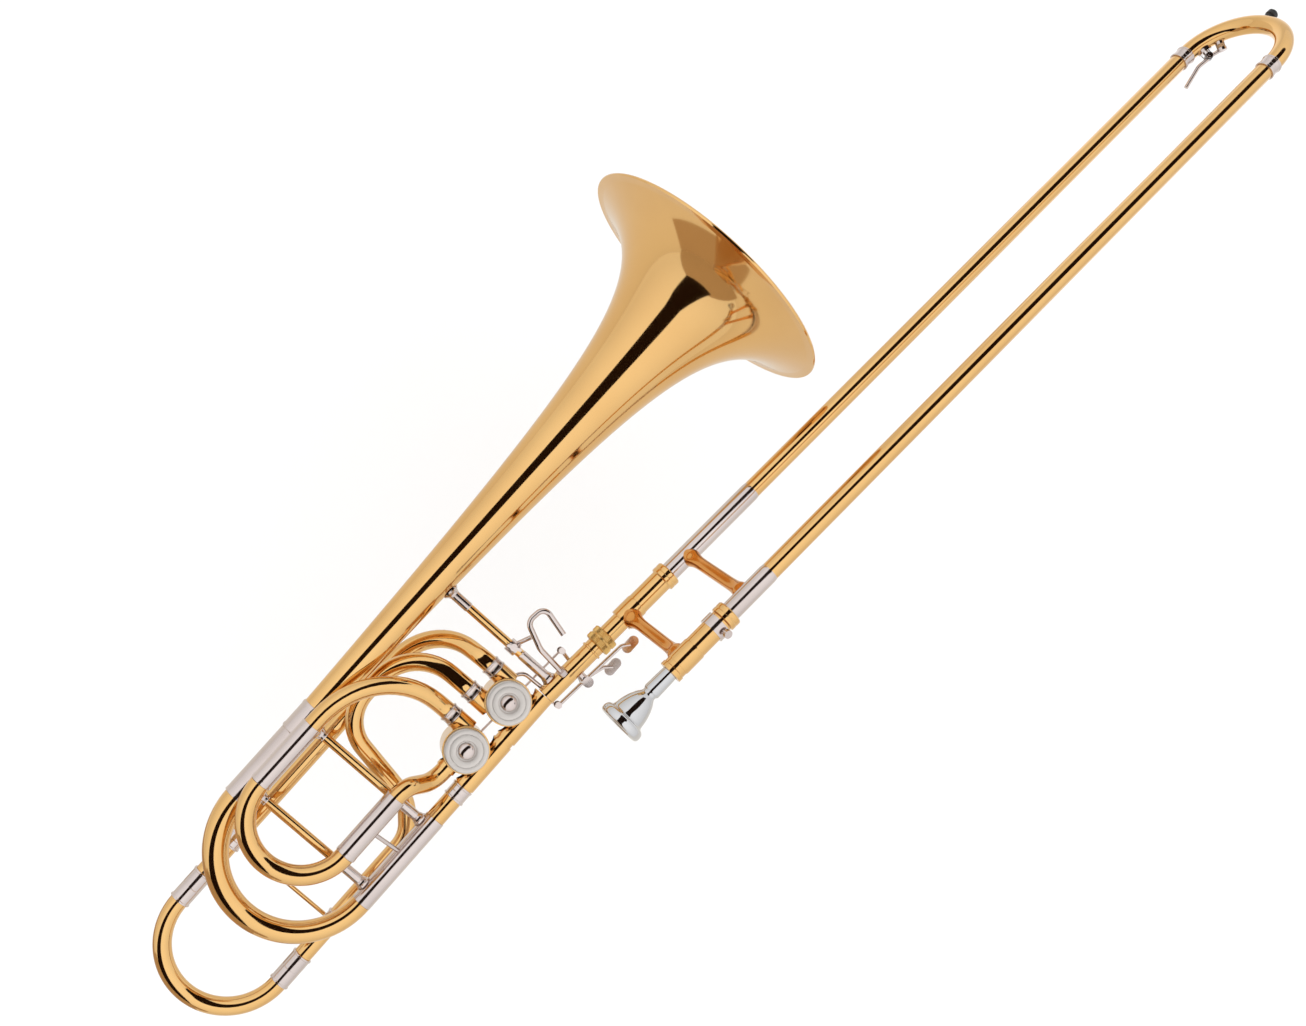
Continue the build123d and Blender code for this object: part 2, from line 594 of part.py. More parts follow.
nipple = rod(nipple_base + nipple_out * (OUTER_TUBE - 1.0), nipple_base + nipple_out * (OUTER_TUBE + 1.8), 4.0,
             1.6)
pin_bore = rod(key_pivot - key_side * 8, key_pivot + key_side * 8, PIN)
pieces["water_key_saddle"] = group(joined(saddle_foot, lug_posts + hinge_lugs, (bow_solid, pin_bore)),
                                   joined(nipple, (), (bow_solid,)))
pieces["water_key_pin"] = rod(key_pivot - key_side * 5.8, key_pivot + key_side * 5.8, PIN)
tab_end = key_pivot - key_run * 31.0 + key_out * 12.0
key_hub = rod(key_pivot - key_side * 3.4, key_pivot + key_side * 3.4, 2.6)
tab_start = key_pivot + key_out * 1.5 - key_run * 1.0
key_tab = pipe([tab_start, key_pivot - key_run * 12.0 + key_out * 2.5, tab_end], [14.0], 1.9)
cup_top = key_cup + nipple_out * 3.2
key_arm = rod(key_pivot + key_out * 0.5, cup_top, 1.7)
cork_cup = rod(key_cup + nipple_out * 1.9, key_cup + nipple_out * 4.6, 4.4)
cork = rod(key_cup - nipple_out * 1.5, key_cup + nipple_out * 1.9, 3.7)
pieces["water_key"] = joined(key_hub, (key_tab, key_arm, cork_cup),
                             (rod(key_pivot - key_side * 8, key_pivot + key_side * 8, PIN + RUNNING), cork))
pieces["water_key_cork"] = cork

# ---------------------------------------------------------------- mouthpiece
RIM_BACK = -50.0
pieces["mouthpiece"] = turned(
    slide_at(RIM_BACK, SLIDE_GAP), slide_at(0, SLIDE_GAP),
    [(0.0, 16.0), (0.8, 14.2), (2.6, 13.2), (6.0, 12.6), (12.0, 11.8), (18.0, 10.2), (23.0, 7.6), (27.0, 4.9),
     (31.0, 3.6), (38.0, 3.6), (88.0, 5.4), (88.0, 6.1), (61.0, 6.55), (56.0, 6.8), (50.0, 7.0), (39.0, 7.3),
     (37.4, 7.1), (36.2, 6.2), (34.4, 6.1), (33.0, 6.9), (31.0, 8.3), (27.5, 10.2), (23.0, 12.0), (18.0, 13.4),
     (13.0, 14.2), (10.6, 14.7), (9.4, 15.6), (8.4, 17.4), (6.6, 19.0), (4.0, 19.5), (1.6, 19.2), (0.0, 17.8)])

# ---------------------------------------------------------------- F loop, behind the bell section
LEG_BORE = LOOP_BORE + 0.5
F_START = F_JOINT_X + 0.4
upper_route = [bell_at(PORT_SIDE, LOOP_START), bell_at(PORT_SIDE, 59.8), bell_at(9.5, F_LEG_Y, F_Z),
               bell_at(F_START, F_LEG_Y, F_Z)]
pieces["f_loop_upper_tube"] = pipe(upper_route, [24.0, 50.0], LOOP_TUBE, LEG_BORE)
lower_route = [bell_at(-PORT_SIDE, LOOP_START), bell_at(-PORT_SIDE, 57), bell_at(-15, 111, -8),
               bell_at(-103, 113, -16), bell_at(-119, 24, -33), bell_at(-142, F_RETURN_Y, F_Z),
               bell_at(F_START, F_RETURN_Y, F_Z)]
pieces["f_loop_lower_tube"] = pipe(lower_route, [24.0, 44.0, 38.0, 36.0, 30.0], LOOP_TUBE, LEG_BORE)
f_legs = (F_LEG_Y, F_RETURN_Y)
F_MIDDLE = (F_LEG_Y + F_RETURN_Y) / 2
backward = bell_frame.x_dir * -1
pieces["f_slide_bow"] = bow(bell_at(F_BOW_X, F_MIDDLE, F_Z), bell_at(F_BOW_X, F_LEG_Y, F_Z), backward, LOOP_TUBE,
                            LOOP_BORE)
SLIP_FIT = LOOP_BORE + 0.45
f_outer = [rod(bell_at(F_BOW_X + 0.1, y, F_Z), bell_at(F_JOINT_X, y, F_Z), LOOP_TUBE, SLIP_FIT)
           for y in f_legs]
pieces["f_slide_legs"] = group(*f_outer)
F_INNER_END = -172.0
f_inner = [rod(bell_at(F_JOINT_X - 20, y, F_Z), bell_at(F_INNER_END, y, F_Z), SLIP_FIT, LOOP_BORE - 0.1)
           for y in f_legs]
pieces["f_slide_inner_tubes"] = group(*f_inner)
F_FERRULES = ((-303.0, 30.0), (-243.0, 14.0))
f_rings = [stepped_ring(bell_at(x, y, F_Z), bell_at(x + 50, y, F_Z), length, LOOP_TUBE + 0.8, LOOP_TUBE)
           for y in f_legs for x, length in F_FERRULES]
pieces["f_slide_ferrules"] = group(*f_rings)
F_STAY_X = -236.0
f_stay = rod(bell_at(F_STAY_X, F_RETURN_Y + 6, F_Z), bell_at(F_STAY_X, F_LEG_Y - 6, F_Z), STAY)
leg_cuts = [rod(bell_at(F_STAY_X - 10, y, F_Z), bell_at(F_STAY_X + 10, y, F_Z), LOOP_TUBE + 1.4) for y in f_legs]
pieces["f_slide_stay"] = joined(f_stay, (), leg_cuts)

# ---------------------------------------------------------------- second loop, in front
d_legs = (D_LEG_Y, D_RETURN_Y)
d_route = [bell_at(v2 + PORT_SIDE, LOOP_START), bell_at(v2 + PORT_SIDE, 57), bell_at(v2 + 12, D_LEG_Y, D_Z),
           bell_at(D_SLEEVE_START, D_LEG_Y, D_Z)]
pieces["d_loop_tube"] = pipe(d_route, [24.0, 70.0], LOOP_TUBE, LOOP_BORE)
return_route = [bell_at(v2 - HOUSING_HALF - 0.1, ROTOR_SIDE), bell_at(-90, ROTOR_SIDE),
                bell_at(-106, D_RETURN_Y, D_Z), bell_at(D_SLEEVE_START, D_RETURN_Y, D_Z)]
pieces["d_loop_return_tube"] = pipe(return_route, [21.0, 17.0], LOOP_TUBE, LOOP_BORE)
D_OUTER_START = D_SLEEVE_START - 0.1
d_sleeves = [rod(bell_at(D_OUTER_START, y, D_Z), bell_at(D_SLEEVE_END, y, D_Z), LEG_SLEEVE, LEG_SLEEVE_BORE)
             for y in d_legs]
pieces["d_slide_sleeves"] = group(*d_sleeves)
D_MIDDLE = (D_LEG_Y + D_RETURN_Y) / 2
D_BOW_X = D_SLEEVE_END - 0.3
D_BOW_TUBE = 8.4
D_INNER_LENGTH = 54.0
pieces["d_slide_bow"] = bow(bell_at(D_BOW_X, D_MIDDLE, D_Z), bell_at(D_BOW_X, D_LEG_Y, D_Z), backward, D_BOW_TUBE,
                            LOOP_BORE)
d_inner = [rod(bell_at(D_BOW_X, y, D_Z), bell_at(D_BOW_X + D_INNER_LENGTH, y, D_Z), LEG_INNER, LOOP_BORE - 0.1)
           for y in d_legs]
pieces["d_slide_inner_tubes"] = group(*d_inner)

# ---------------------------------------------------------------- thumb levers
up = Vector(0, 0, 1)
PIVOT_ROD = 2.0
PIVOT_TOP = 3.0
pivot_foot = LEVER_Z[1] - 3.4
post = rod(bell_at(*LEVER_PIVOT, LEVER_Z[0] + 2.1), bell_at(*LEVER_PIVOT, PIVOT_TOP + 1.0), 4.6)
bracket = rod(bell_at(58.5, -1.0, -3.5), bell_at(*LEVER_PIVOT, -3.5), 3.4)
post_bore = rod(bell_at(*LEVER_PIVOT, -30), bell_at(*LEVER_PIVOT, PIVOT_TOP), PIVOT_ROD)
pieces["lever_saddle"] = joined(post, (bracket,), (neck_solid, post_bore))
pivot_rod = rod(bell_at(*LEVER_PIVOT, pivot_foot), bell_at(*LEVER_PIVOT, PIVOT_TOP), PIVOT_ROD)
pivot_head = rod(bell_at(*LEVER_PIVOT, pivot_foot - 1.6), bell_at(*LEVER_PIVOT, pivot_foot), 3.4)
pieces["lever_pivot_rod"] = joined(pivot_rod, (pivot_head,))
LEVER_THICK = 1.9
LEVER_PIN = 1.4


def lever(z, rear_angle, link_z, paddle, bar_end):
    """A thumb lever: hub, rear arm with its link pin, front arm with its touch piece."""
    hub = bell_at(*LEVER_PIVOT, z)
    rear = hub + direction_at(rear_angle) * LEVER_ARM
    body = rod(hub - up * LEVER_THICK, hub + up * LEVER_THICK, 4.2)
    arms = [pipe([hub, bell_at(*bar_end, z), bell_at(*paddle, z)], [6.0], 1.7), rod(hub, rear, 1.7)]
    pin = rod(Vector(rear.X, rear.Y, link_z - 1.5), rear + up * 0.5, LEVER_PIN)
    end_boss = rod(rear - up * LEVER_THICK, rear + up * LEVER_THICK, 2.8)
    with BuildPart() as touch:
        with BuildSketch(Plane(origin=bell_at(*paddle, z - 1.2), x_dir=bell_frame.x_dir, z_dir=(0, 0, 1))):
            SlotOverall(17.0, 9.0)
        extrude(amount=2.4)
    bore = rod(hub - up * 5, hub + up * 5, PIVOT_ROD + RUNNING)
    return joined(body, arms + [pin, end_boss, touch], (bore,))


pieces["thumb_lever_1"] = lever(LEVER_Z[0], 175.0, LINK_Z[0], (106.0, -29.5), (100.0, -24.5))
pieces["thumb_lever_2"] = lever(LEVER_Z[1], 79.1, LINK_Z[1], (82.0, -32.0), (76.0, -26.0))


def link(start, end, z):
    """A flat-eyed link rod between a lever's pin and a stop arm."""
    a = bell_at(*start, z)
    b = bell_at(*end, z)
    eyes = [rod(a - up * 1.2, a + up * 1.2, 3.2), rod(b - up * 1.2, b + up * 1.2, 2.8)]
    return joined(rod(a, b, 1.1), eyes, (rod(a - up * 5, a + up * 5, LEVER_PIN + RUNNING),))


def polar(centre, angle, length):
    """A point at an angle and distance from another, in the bell section's frame."""
    return (centre[0] + length * cos(radians(angle)), centre[1] + length * sin(radians(angle)))


# The first link's free eye is set a little outward, so that it passes the rotor's shaft.
EYE_OUT = 1.9
stop_1 = polar((0, ROTOR_SIDE), 45, STOP_ARM)
stop_2 = polar((v2, ROTOR_SIDE), -45, STOP_ARM)
rear_1 = polar(LEVER_PIVOT, 175.0, LEVER_ARM)
rear_2 = polar(LEVER_PIVOT, 79.1, LEVER_ARM)
pieces["link_rod_1"] = link(rear_1, (stop_1[0] + EYE_OUT, stop_1[1]), LINK_Z[0])
pieces["link_rod_2"] = link(rear_2, stop_2, LINK_Z[1])

# ---------------------------------------------------------------- hand rest
WIRE = 2.5
rest_wire = pipe([bell_at(48.5, 2.0, 7.0), bell_at(50.5, 30.0, 12.0), bell_at(60.5, 53.0, 12.0),
                  bell_at(79.0, 51.0, 12.0), bell_at(72.5, 23.5, 12.0)], [16.0, 8.0, 7.0], WIRE)
rest_foot = rod(bell_at(48.5, 1.0, 6.0), bell_at(48.6, 5.0, 8.8), 4.2)
pieces["hand_rest"] = joined(rest_wire, (rest_foot,), (neck_solid,))
CLAMP_Y = 47.0
SCREW = 1.5
clamp = rod(bell_at(BELL_BRACE_X, CLAMP_Y - 4.5), bell_at(BELL_BRACE_X, CLAMP_Y + 4.5), 6.0, BRACE)
arm = rod(bell_at(BELL_BRACE_X + 5.0, CLAMP_Y - 1.0, 1.0), bell_at(53.0, 42.0, 8.6), 2.0)
wire_seat = rod(bell_at(52.0, 38.0, 12.0), bell_at(62.0, 61.0, 12.0), WIRE + 0.2)
brace_bore = rod(bell_at(BELL_BRACE_X, 30), bell_at(BELL_BRACE_X, 60), BRACE)
screw_bore = rod(bell_at(BELL_BRACE_X, CLAMP_Y, 3), bell_at(BELL_BRACE_X, CLAMP_Y, 9), SCREW + RUNNING)
pieces["hand_rest_clamp"] = joined(clamp, (arm,), (wire_seat, brace_bore, screw_bore))
screw_stem = rod(bell_at(BELL_BRACE_X, CLAMP_Y, 4.0), bell_at(BELL_BRACE_X, CLAMP_Y, 9.0), SCREW)
screw_collar = rod(bell_at(BELL_BRACE_X, CLAMP_Y, 6.3), bell_at(BELL_BRACE_X, CLAMP_Y, 8.3), 3.2)
with BuildPart() as wing:
    wing_base = bell_at(BELL_BRACE_X, CLAMP_Y, 8.0)
    with BuildSketch(Plane(origin=wing_base, x_dir=direction_at(110), z_dir=(0, 0, 1))):
        SlotOverall(13.0, 2.6)
    extrude(amount=5.0)
pieces["hand_rest_screw"] = joined(screw_stem, (screw_collar, wing))

for name, piece in pieces.items():
    piece.part.label = name
    export_step(piece.part, f"parts/{name}.step")
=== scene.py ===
"""The looks of a bass trombone with two in-line rotary valves, built round its CAD frame.

Scene units are metres in the row frame: +X along the hand slide, +Y towards the bell, +Z up.
Sizes of the pieces are written in millimetres; bell_at, slide_at, Shape and MM bring them to metres.
"""
import json
import math

import bpy
from mathutils import Euler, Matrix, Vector

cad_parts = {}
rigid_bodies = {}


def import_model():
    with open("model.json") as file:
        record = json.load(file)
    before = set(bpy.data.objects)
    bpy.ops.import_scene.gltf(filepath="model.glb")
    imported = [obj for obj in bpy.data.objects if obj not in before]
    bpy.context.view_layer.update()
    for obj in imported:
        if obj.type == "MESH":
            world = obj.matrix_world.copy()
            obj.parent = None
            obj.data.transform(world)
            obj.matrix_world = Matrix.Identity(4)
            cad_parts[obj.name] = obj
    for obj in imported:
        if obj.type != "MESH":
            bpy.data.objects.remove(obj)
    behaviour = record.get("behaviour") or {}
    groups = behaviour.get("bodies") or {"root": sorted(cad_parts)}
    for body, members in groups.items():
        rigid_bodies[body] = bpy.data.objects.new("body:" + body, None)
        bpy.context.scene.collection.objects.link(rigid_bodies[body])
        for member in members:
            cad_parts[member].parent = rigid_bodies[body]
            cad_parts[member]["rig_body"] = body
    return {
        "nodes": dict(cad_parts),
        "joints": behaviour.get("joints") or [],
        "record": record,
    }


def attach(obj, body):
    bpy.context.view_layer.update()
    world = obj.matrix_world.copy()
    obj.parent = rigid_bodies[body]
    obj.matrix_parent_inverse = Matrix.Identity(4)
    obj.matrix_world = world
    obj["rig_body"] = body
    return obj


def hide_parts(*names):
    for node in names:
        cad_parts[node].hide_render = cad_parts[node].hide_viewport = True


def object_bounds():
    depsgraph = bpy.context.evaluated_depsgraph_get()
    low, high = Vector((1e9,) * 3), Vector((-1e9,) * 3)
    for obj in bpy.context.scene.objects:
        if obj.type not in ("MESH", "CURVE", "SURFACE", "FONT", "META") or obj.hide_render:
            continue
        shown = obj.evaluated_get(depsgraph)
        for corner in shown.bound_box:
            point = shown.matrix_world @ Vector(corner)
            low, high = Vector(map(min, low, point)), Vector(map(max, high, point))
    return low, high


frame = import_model()
cad_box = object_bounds()

MM = 0.001
UP = Vector((0, 0, 1))
nodes = frame["nodes"]
joints = {joint["name"]: joint for joint in frame["joints"]}
slot_of = {subpart["node"]: subpart["material_slot"] for subpart in frame["record"]["subparts"]}

# ---------------------------------------------------------------- places
ROTOR_SIDE = 21.5            # rotor axis beside the main tubing
BELL_Y = 133.9               # bell axis beside the main tubing
SLIDE_GAP = 90.4
BELL_X = -Vector(joints["main_tuning_pull"]["axis"]).normalized()
BELL_ACROSS = UP.cross(BELL_X)
valve_places = [Vector(joints[f"rotor_{number}_turn"]["pos_m"]) for number in (1, 2)]
valve_1_foot = Vector((valve_places[0].x, valve_places[0].y, 0)) - BELL_ACROSS * ROTOR_SIDE * MM
VALVE_2 = -(valve_places[1] - valve_places[0]).length / MM
lock_at = Vector(joints["slide_lock_turn"]["pos_m"])
SLIDE_ACROSS = Vector((0, lock_at.y, lock_at.z)).normalized()
SLIDE_BEHIND = Vector((1, 0, 0)).cross(SLIDE_ACROSS)


def bell_at(x, y, z=0.0):
    """A point in the bell section's frame, centred on the first valve."""
    return valve_1_foot + (BELL_X * x + BELL_ACROSS * y + UP * z) * MM


def slide_at(x, across=0.0, behind=0.0):
    """A point in the hand slide's plane."""
    return (Vector((x, 0, 0)) + SLIDE_ACROSS * across + SLIDE_BEHIND * behind) * MM


# ---------------------------------------------------------------- camera
CAMERA_AT = Vector((-0.0971, 0.2034, 1.1992))
CAMERA_TURN = (-0.700, -9.326, -44.328)      # degrees about X, Y and Z
LENS = 39.675
SENSOR = 36.0
SHIFT = (0.0486, 0.0367)
NEAREST = 0.01

camera_data = bpy.data.cameras.new("camera")
camera_data.lens = LENS
camera_data.sensor_width = SENSOR
camera_data.shift_x, camera_data.shift_y = SHIFT
camera_data.clip_start = NEAREST
camera = bpy.data.objects.new("camera", camera_data)
camera.location = CAMERA_AT
camera.rotation_euler = Euler([math.radians(a) for a in CAMERA_TURN], "XYZ")
bpy.context.scene.collection.objects.link(camera)
bpy.context.scene.camera = camera


# ---------------------------------------------------------------- materials
# Noise scales, in waves to the metre.
DRIFT_SCALE = 14.0
SMEAR_SCALE = 55.0
WAVINESS_SCALE = 26.0
WEAR_SCALE = 90.0
BRUSHING_SCALE = 240.0
SCRATCH_SCALE = 900.0
RUBBER_GRAIN = 900.0
CORK_GRAIN = 700.0


class Nodes:
    """A material's node tree, with short calls to add and link nodes."""

    def __init__(self, name):
        self.material = bpy.data.materials.new(name)
        self.material.use_nodes = True
        self.tree = self.material.node_tree
        self.shader = self.tree.nodes["Principled BSDF"]
        self.place = self.add("ShaderNodeTexCoord").outputs["Object"]

    def add(self, kind, **settings):
        """Add a node and give it its settings."""
        node = self.tree.nodes.new(kind)
        for key, value in settings.items():
            setattr(node, key, value)
        return node

    def link(self, source, target):
        """Link an output to an input."""
        self.tree.links.new(source, target)

    def noise(self, scale, detail=2.0, roughness=0.5):
        """Noise through the object's own space."""
        node = self.add("ShaderNodeTexNoise")
        node.inputs["Scale"].default_value = scale
        node.inputs["Detail"].default_value = detail
        node.inputs["Roughness"].default_value = roughness
        self.link(self.place, node.inputs["Vector"])
        return node.outputs["Fac"]

    def ramp(self, source, stops):
        """Turn a value into a colour by stops of (position, colour)."""
        node = self.add("ShaderNodeValToRGB")
        elements = node.color_ramp.elements
        while len(elements) < len(stops):
            elements.new(0.5)
        for element, (position, colour) in zip(elements, stops):
            element.position = position
            element.color = (*colour, 1.0)
        self.link(source, node.inputs["Fac"])
        return node.outputs["Color"]

    def span(self, source, low, high):
        """Stretch a value from 0 to 1 so that it runs from low to high."""
        node = self.add("ShaderNodeMapRange")
        node.inputs["To Min"].default_value = low
        node.inputs["To Max"].default_value = high
        self.link(source, node.inputs["Value"])
        return node.outputs["Result"]

    def bump(self, height, strength, distance):
        """Raise the surface by a height."""
        node = self.add("ShaderNodeBump")
        node.inputs["Strength"].default_value = strength
        node.inputs["Distance"].default_value = distance
        self.link(height, node.inputs["Height"])
        self.link(node.outputs["Normal"], self.shader.inputs["Normal"])

    def set(self, **values):
        """Set the shader's own sockets, with an underscore for each space in a name."""
        for key, value in values.items():
            self.shader.inputs[key.replace("_", " ")].default_value = value


def polished_metal(name, light, deep, rough, coat):
    """Polished metal: slow drifts of tone, smears in the gloss and a faint waviness from hand work."""
    m = Nodes(name)
    m.set(Metallic=1.0, Coat_Weight=coat, Coat_Roughness=0.03)
    tone = m.ramp(m.noise(DRIFT_SCALE, 3.0), [(0.3, deep), (0.7, light)])
    m.link(tone, m.shader.inputs["Base Color"])
    m.link(m.span(m.noise(SMEAR_SCALE, 4.0, 0.6), *rough), m.shader.inputs["Roughness"])
    m.bump(m.noise(WAVINESS_SCALE, 1.0), 0.25, 0.00025)
    return m.material


def matt_metal(name, light, deep, rough):
    """Brushed or worn metal: a satin gloss with fine scratches."""
    m = Nodes(name)
    m.set(Metallic=1.0)
    wear = m.noise(WEAR_SCALE, 6.0, 0.7)
    m.link(m.ramp(wear, [(0.3, deep), (0.7, light)]), m.shader.inputs["Base Color"])
    m.link(m.span(m.noise(BRUSHING_SCALE, 4.0, 0.7), *rough), m.shader.inputs["Roughness"])
    m.bump(m.noise(SCRATCH_SCALE, 3.0), 0.15, 0.00003)
    return m.material


def dull(name, light, deep, rough, grain):
    """Rubber or cork: a matt body with a fine grain."""
    m = Nodes(name)
    speckle = m.noise(grain, 6.0, 0.65)
    m.link(m.ramp(speckle, [(0.35, deep), (0.65, light)]), m.shader.inputs["Base Color"])
    m.link(m.span(m.noise(grain / 3), rough - 0.08, rough + 0.08), m.shader.inputs["Roughness"])
    m.bump(speckle, 0.4, 0.0002)
    return m.material


gold = polished_metal("gold lacquer", (0.84, 0.520, 0.205), (0.79, 0.475, 0.180), (0.05, 0.10), 0.25)
grip = polished_metal("rose lacquer", (0.78, 0.360, 0.090), (0.68, 0.290, 0.065), (0.10, 0.18), 0.3)
nickel = polished_metal("nickel silver", (0.71, 0.625, 0.595), (0.64, 0.555, 0.525), (0.08, 0.16), 0.1)
bare = polished_metal("bare nickel silver", (0.76, 0.730, 0.690), (0.70, 0.670, 0.630), (0.08, 0.16), 0.0)
silver = polished_metal("silver plate", (0.70, 0.700, 0.710), (0.62, 0.620, 0.630), (0.04, 0.10), 0.0)
cap_metal = matt_metal("satin nickel", (0.68, 0.640, 0.605), (0.65, 0.610, 0.575), (0.30, 0.36))
nut_metal = matt_metal("knurled brass", (0.80, 0.520, 0.190), (0.66, 0.410, 0.140), (0.28, 0.40))
steel = matt_metal("spring steel", (0.48, 0.480, 0.500), (0.34, 0.340, 0.350), (0.22, 0.36))
rubber = dull("black rubber", (0.028, 0.028, 0.030), (0.014, 0.014, 0.015), 0.55, RUBBER_GRAIN)
cork = dull("cork", (0.52, 0.340, 0.190), (0.30, 0.170, 0.080), 0.85, CORK_GRAIN)
finish_of = {
    "gold_lacquer": gold,
    "rose_lacquer": grip,
    "nickel_silver": nickel,
    "bare_nickel_silver": bare,
    "silver_plate": silver,
    "black_rubber": rubber,
    "cork": cork,
}
for node_name, slot_name in slot_of.items():
    mesh = nodes[node_name].data
    mesh.materials.clear()
    mesh.materials.append(finish_of[slot_name])

# ---------------------------------------------------------------- mesh building
CREASE = math.radians(32)
FLAT_CORNER = math.radians(155)     # an outline's corner wider than this stays as it is
STRAIGHT_CORNER = math.radians(89)  # half the angle at which a route runs straight on
MOST_CUT = 0.35                     # the share of an edge that a softened corner may take


def axes_about(direction):
    """Two unit vectors square to a direction."""
    helper = UP if abs(direction.z) < 0.9 else Vector((0, 1, 0))
    side = direction.cross(helper).normalized()
    return side, direction.cross(side)


def softened(outline, size):
    """The closed outline with each sharp corner cut into a small round of three points."""
    result = []
    count = len(outline)
    for i, corner in enumerate(outline):
        here = Vector(corner)
        before = Vector(outline[i - 1]) - here
        after = Vector(outline[(i + 1) % count]) - here
        on_axis = abs(here.y) < 1e-6
        if on_axis or min(before.length, after.length) < 1e-6 or before.angle(after) > FLAT_CORNER:
            result.append(tuple(here))
            continue
        reach = min(size, MOST_CUT * before.length, MOST_CUT * after.length)
        first = here + before.normalized() * reach
        last = here + after.normalized() * reach
        result += [tuple(first), tuple((first + last) * 0.25 + here * 0.5), tuple(last)]
    return result


def rounded_route(corners, bends, steps=14):
    """Points along straight runs whose corners are rounded by arcs, with the arcs' radii in millimetres."""
    route = [Vector(corners[0])]
    for i, bend in enumerate(bends, start=1):
        here = Vector(corners[i])
        back = (Vector(corners[i - 1]) - here).normalized()
        onward = (Vector(corners[i + 1]) - here).normalized()
        half = back.angle(onward) / 2
        if half > STRAIGHT_CORNER:
            continue
        reach = bend * MM / math.tan(half)
        centre = here + (back + onward).normalized() * bend * MM / math.sin(half)
        first = here + back * reach - centre
        last = here + onward * reach - centre
        sweep = math.pi - 2 * half
        for step in range(steps + 1):
            turn = sweep * step / steps
            share = (math.sin(sweep - turn) / math.sin(sweep), math.sin(turn) / math.sin(sweep))
            route.append(centre + first * share[0] + last * share[1])
    route.append(Vector(corners[-1]))
    return route


def half_circle(middle, first_leg, away, steps=48):
    """Points of a half-circle bow from its first leg round its crown."""
    reach = first_leg - middle
    crown = away.normalized() * reach.length
    return [middle + reach * math.cos(math.pi * i / steps) + crown * math.sin(math.pi * i / steps)
            for i in range(steps + 1)]


class Shape:
    """A mesh that grows by turned and swept solids, then becomes one piece."""

    def __init__(self):
        self.vertices = []
        self.faces = []

    def rings(self, rings, closed_run):
        """Join rings of points into a skin; a ring of one point is a pole."""
        starts = []
        for ring in rings:
            starts.append(len(self.vertices))
            self.vertices += [tuple(point) for point in ring]
        last = len(rings) if closed_run else len(rings) - 1
        for i in range(last):
            j = (i + 1) % len(rings)
            a, b = starts[i], starts[j]
            count_a, count_b = len(rings[i]), len(rings[j])
            if count_a == 1 and count_b == 1:
                continue
            count = max(count_a, count_b)
            for k in range(count):
                n = (k + 1) % count
                if count_a == 1:
                    self.faces.append((a, b + n, b + k))
                elif count_b == 1:
                    self.faces.append((a + k, a + n, b))
                else:
                    self.faces.append((a + k, a + n, b + n, b + k))

    def turned(self, start, toward, outline, segments=72, soft=0.25, ridge=None):
        """Revolve a closed (distance, radius) outline. A ridge is (low radius, count, depth) of a knurl."""
        direction = (Vector(toward) - Vector(start)).normalized()
        side, other = axes_about(direction)
        rings = []
        for along, radius in softened(outline, soft) if soft else outline:
            centre = Vector(start) + direction * along * MM
            if radius < 1e-6:
                rings.append([centre])
                continue
            ring = []
            for k in range(segments):
                turn = 2 * math.pi * k / segments
                reach = radius
                if ridge and radius >= ridge[0]:
                    reach -= ridge[2] * (0.5 - 0.5 * math.cos(turn * ridge[1]))
                ring.append(centre + (side * math.cos(turn) + other * math.sin(turn)) * reach * MM)
            rings.append(ring)
        self.rings(rings, closed_run=True)
        return self

    def swept(self, route, radius, bore=0.0, segments=40, end_radius=None, end_bore=None):
        """A round wire or tube along a route; the radii may change evenly along it."""
        lengths = [0.0]
        for a, b in zip(route, route[1:]):
            lengths.append(lengths[-1] + (b - a).length)
        tangents = []
        for i in range(len(route)):
            ahead = route[min(i + 1, len(route) - 1)]
            behind = route[max(i - 1, 0)]
            tangents.append((ahead - behind).normalized())
        side, _ = axes_about(tangents[0])
        outer, inner = [], []
        for point, tangent, length in zip(route, tangents, lengths):
            side = (side - tangent * side.dot(tangent)).normalized()
            other = tangent.cross(side)
            part_way = length / lengths[-1]
            here = radius + ((end_radius or radius) - radius) * part_way
            hole = bore + ((end_bore or bore) - bore) * part_way
            turns = [2 * math.pi * k / segments for k in range(segments)]
            spokes = [side * math.cos(turn) + other * math.sin(turn) for turn in turns]
            outer.append([point + spoke * here * MM for spoke in spokes])
            inner.append([point + spoke * hole * MM for spoke in spokes] if bore else [point])
        if bore:
            self.rings(outer + inner[::-1], closed_run=True)
        else:
            # A solid wire ends in a smaller ring and a pole, which round its edge.
            edge = radius * 0.3
            first = [point * 0.85 + route[0] * 0.15 - tangents[0] * edge * MM for point in outer[0]]
            last = [point * 0.85 + route[-1] * 0.15 + tangents[-1] * edge * MM for point in outer[-1]]
            start_pole = [route[0] - tangents[0] * edge * 1.2 * MM]
            end_pole = [route[-1] + tangents[-1] * edge * 1.2 * MM]
            self.rings([start_pole, first] + outer + [last, end_pole], closed_run=False)
        return self

    def piece(self, name, finish, node=None, body=None, slot=None):
        """Make the object and let it ride on its body; the slot argument is not used."""
        mesh = bpy.data.meshes.new(name)
        mesh.from_pydata(self.vertices, [], self.faces)
        mesh.validate()
        mesh.update()
        mesh.polygons.foreach_set("use_smooth", [True] * len(mesh.polygons))
        mesh.set_sharp_from_angle(angle=CREASE)
        mesh.materials.append(finish)
        thing = bpy.data.objects.new(name, mesh)
        bpy.context.scene.collection.objects.link(thing)
        if node:
            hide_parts(node)
            body = nodes[node]["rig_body"]
        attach(thing, body)
        return thing


def tube_outline(length, radius, bore):
    """The outline that turns into a plain tube."""
    return [(0, bore), (0, radius), (length, radius), (length, bore)]


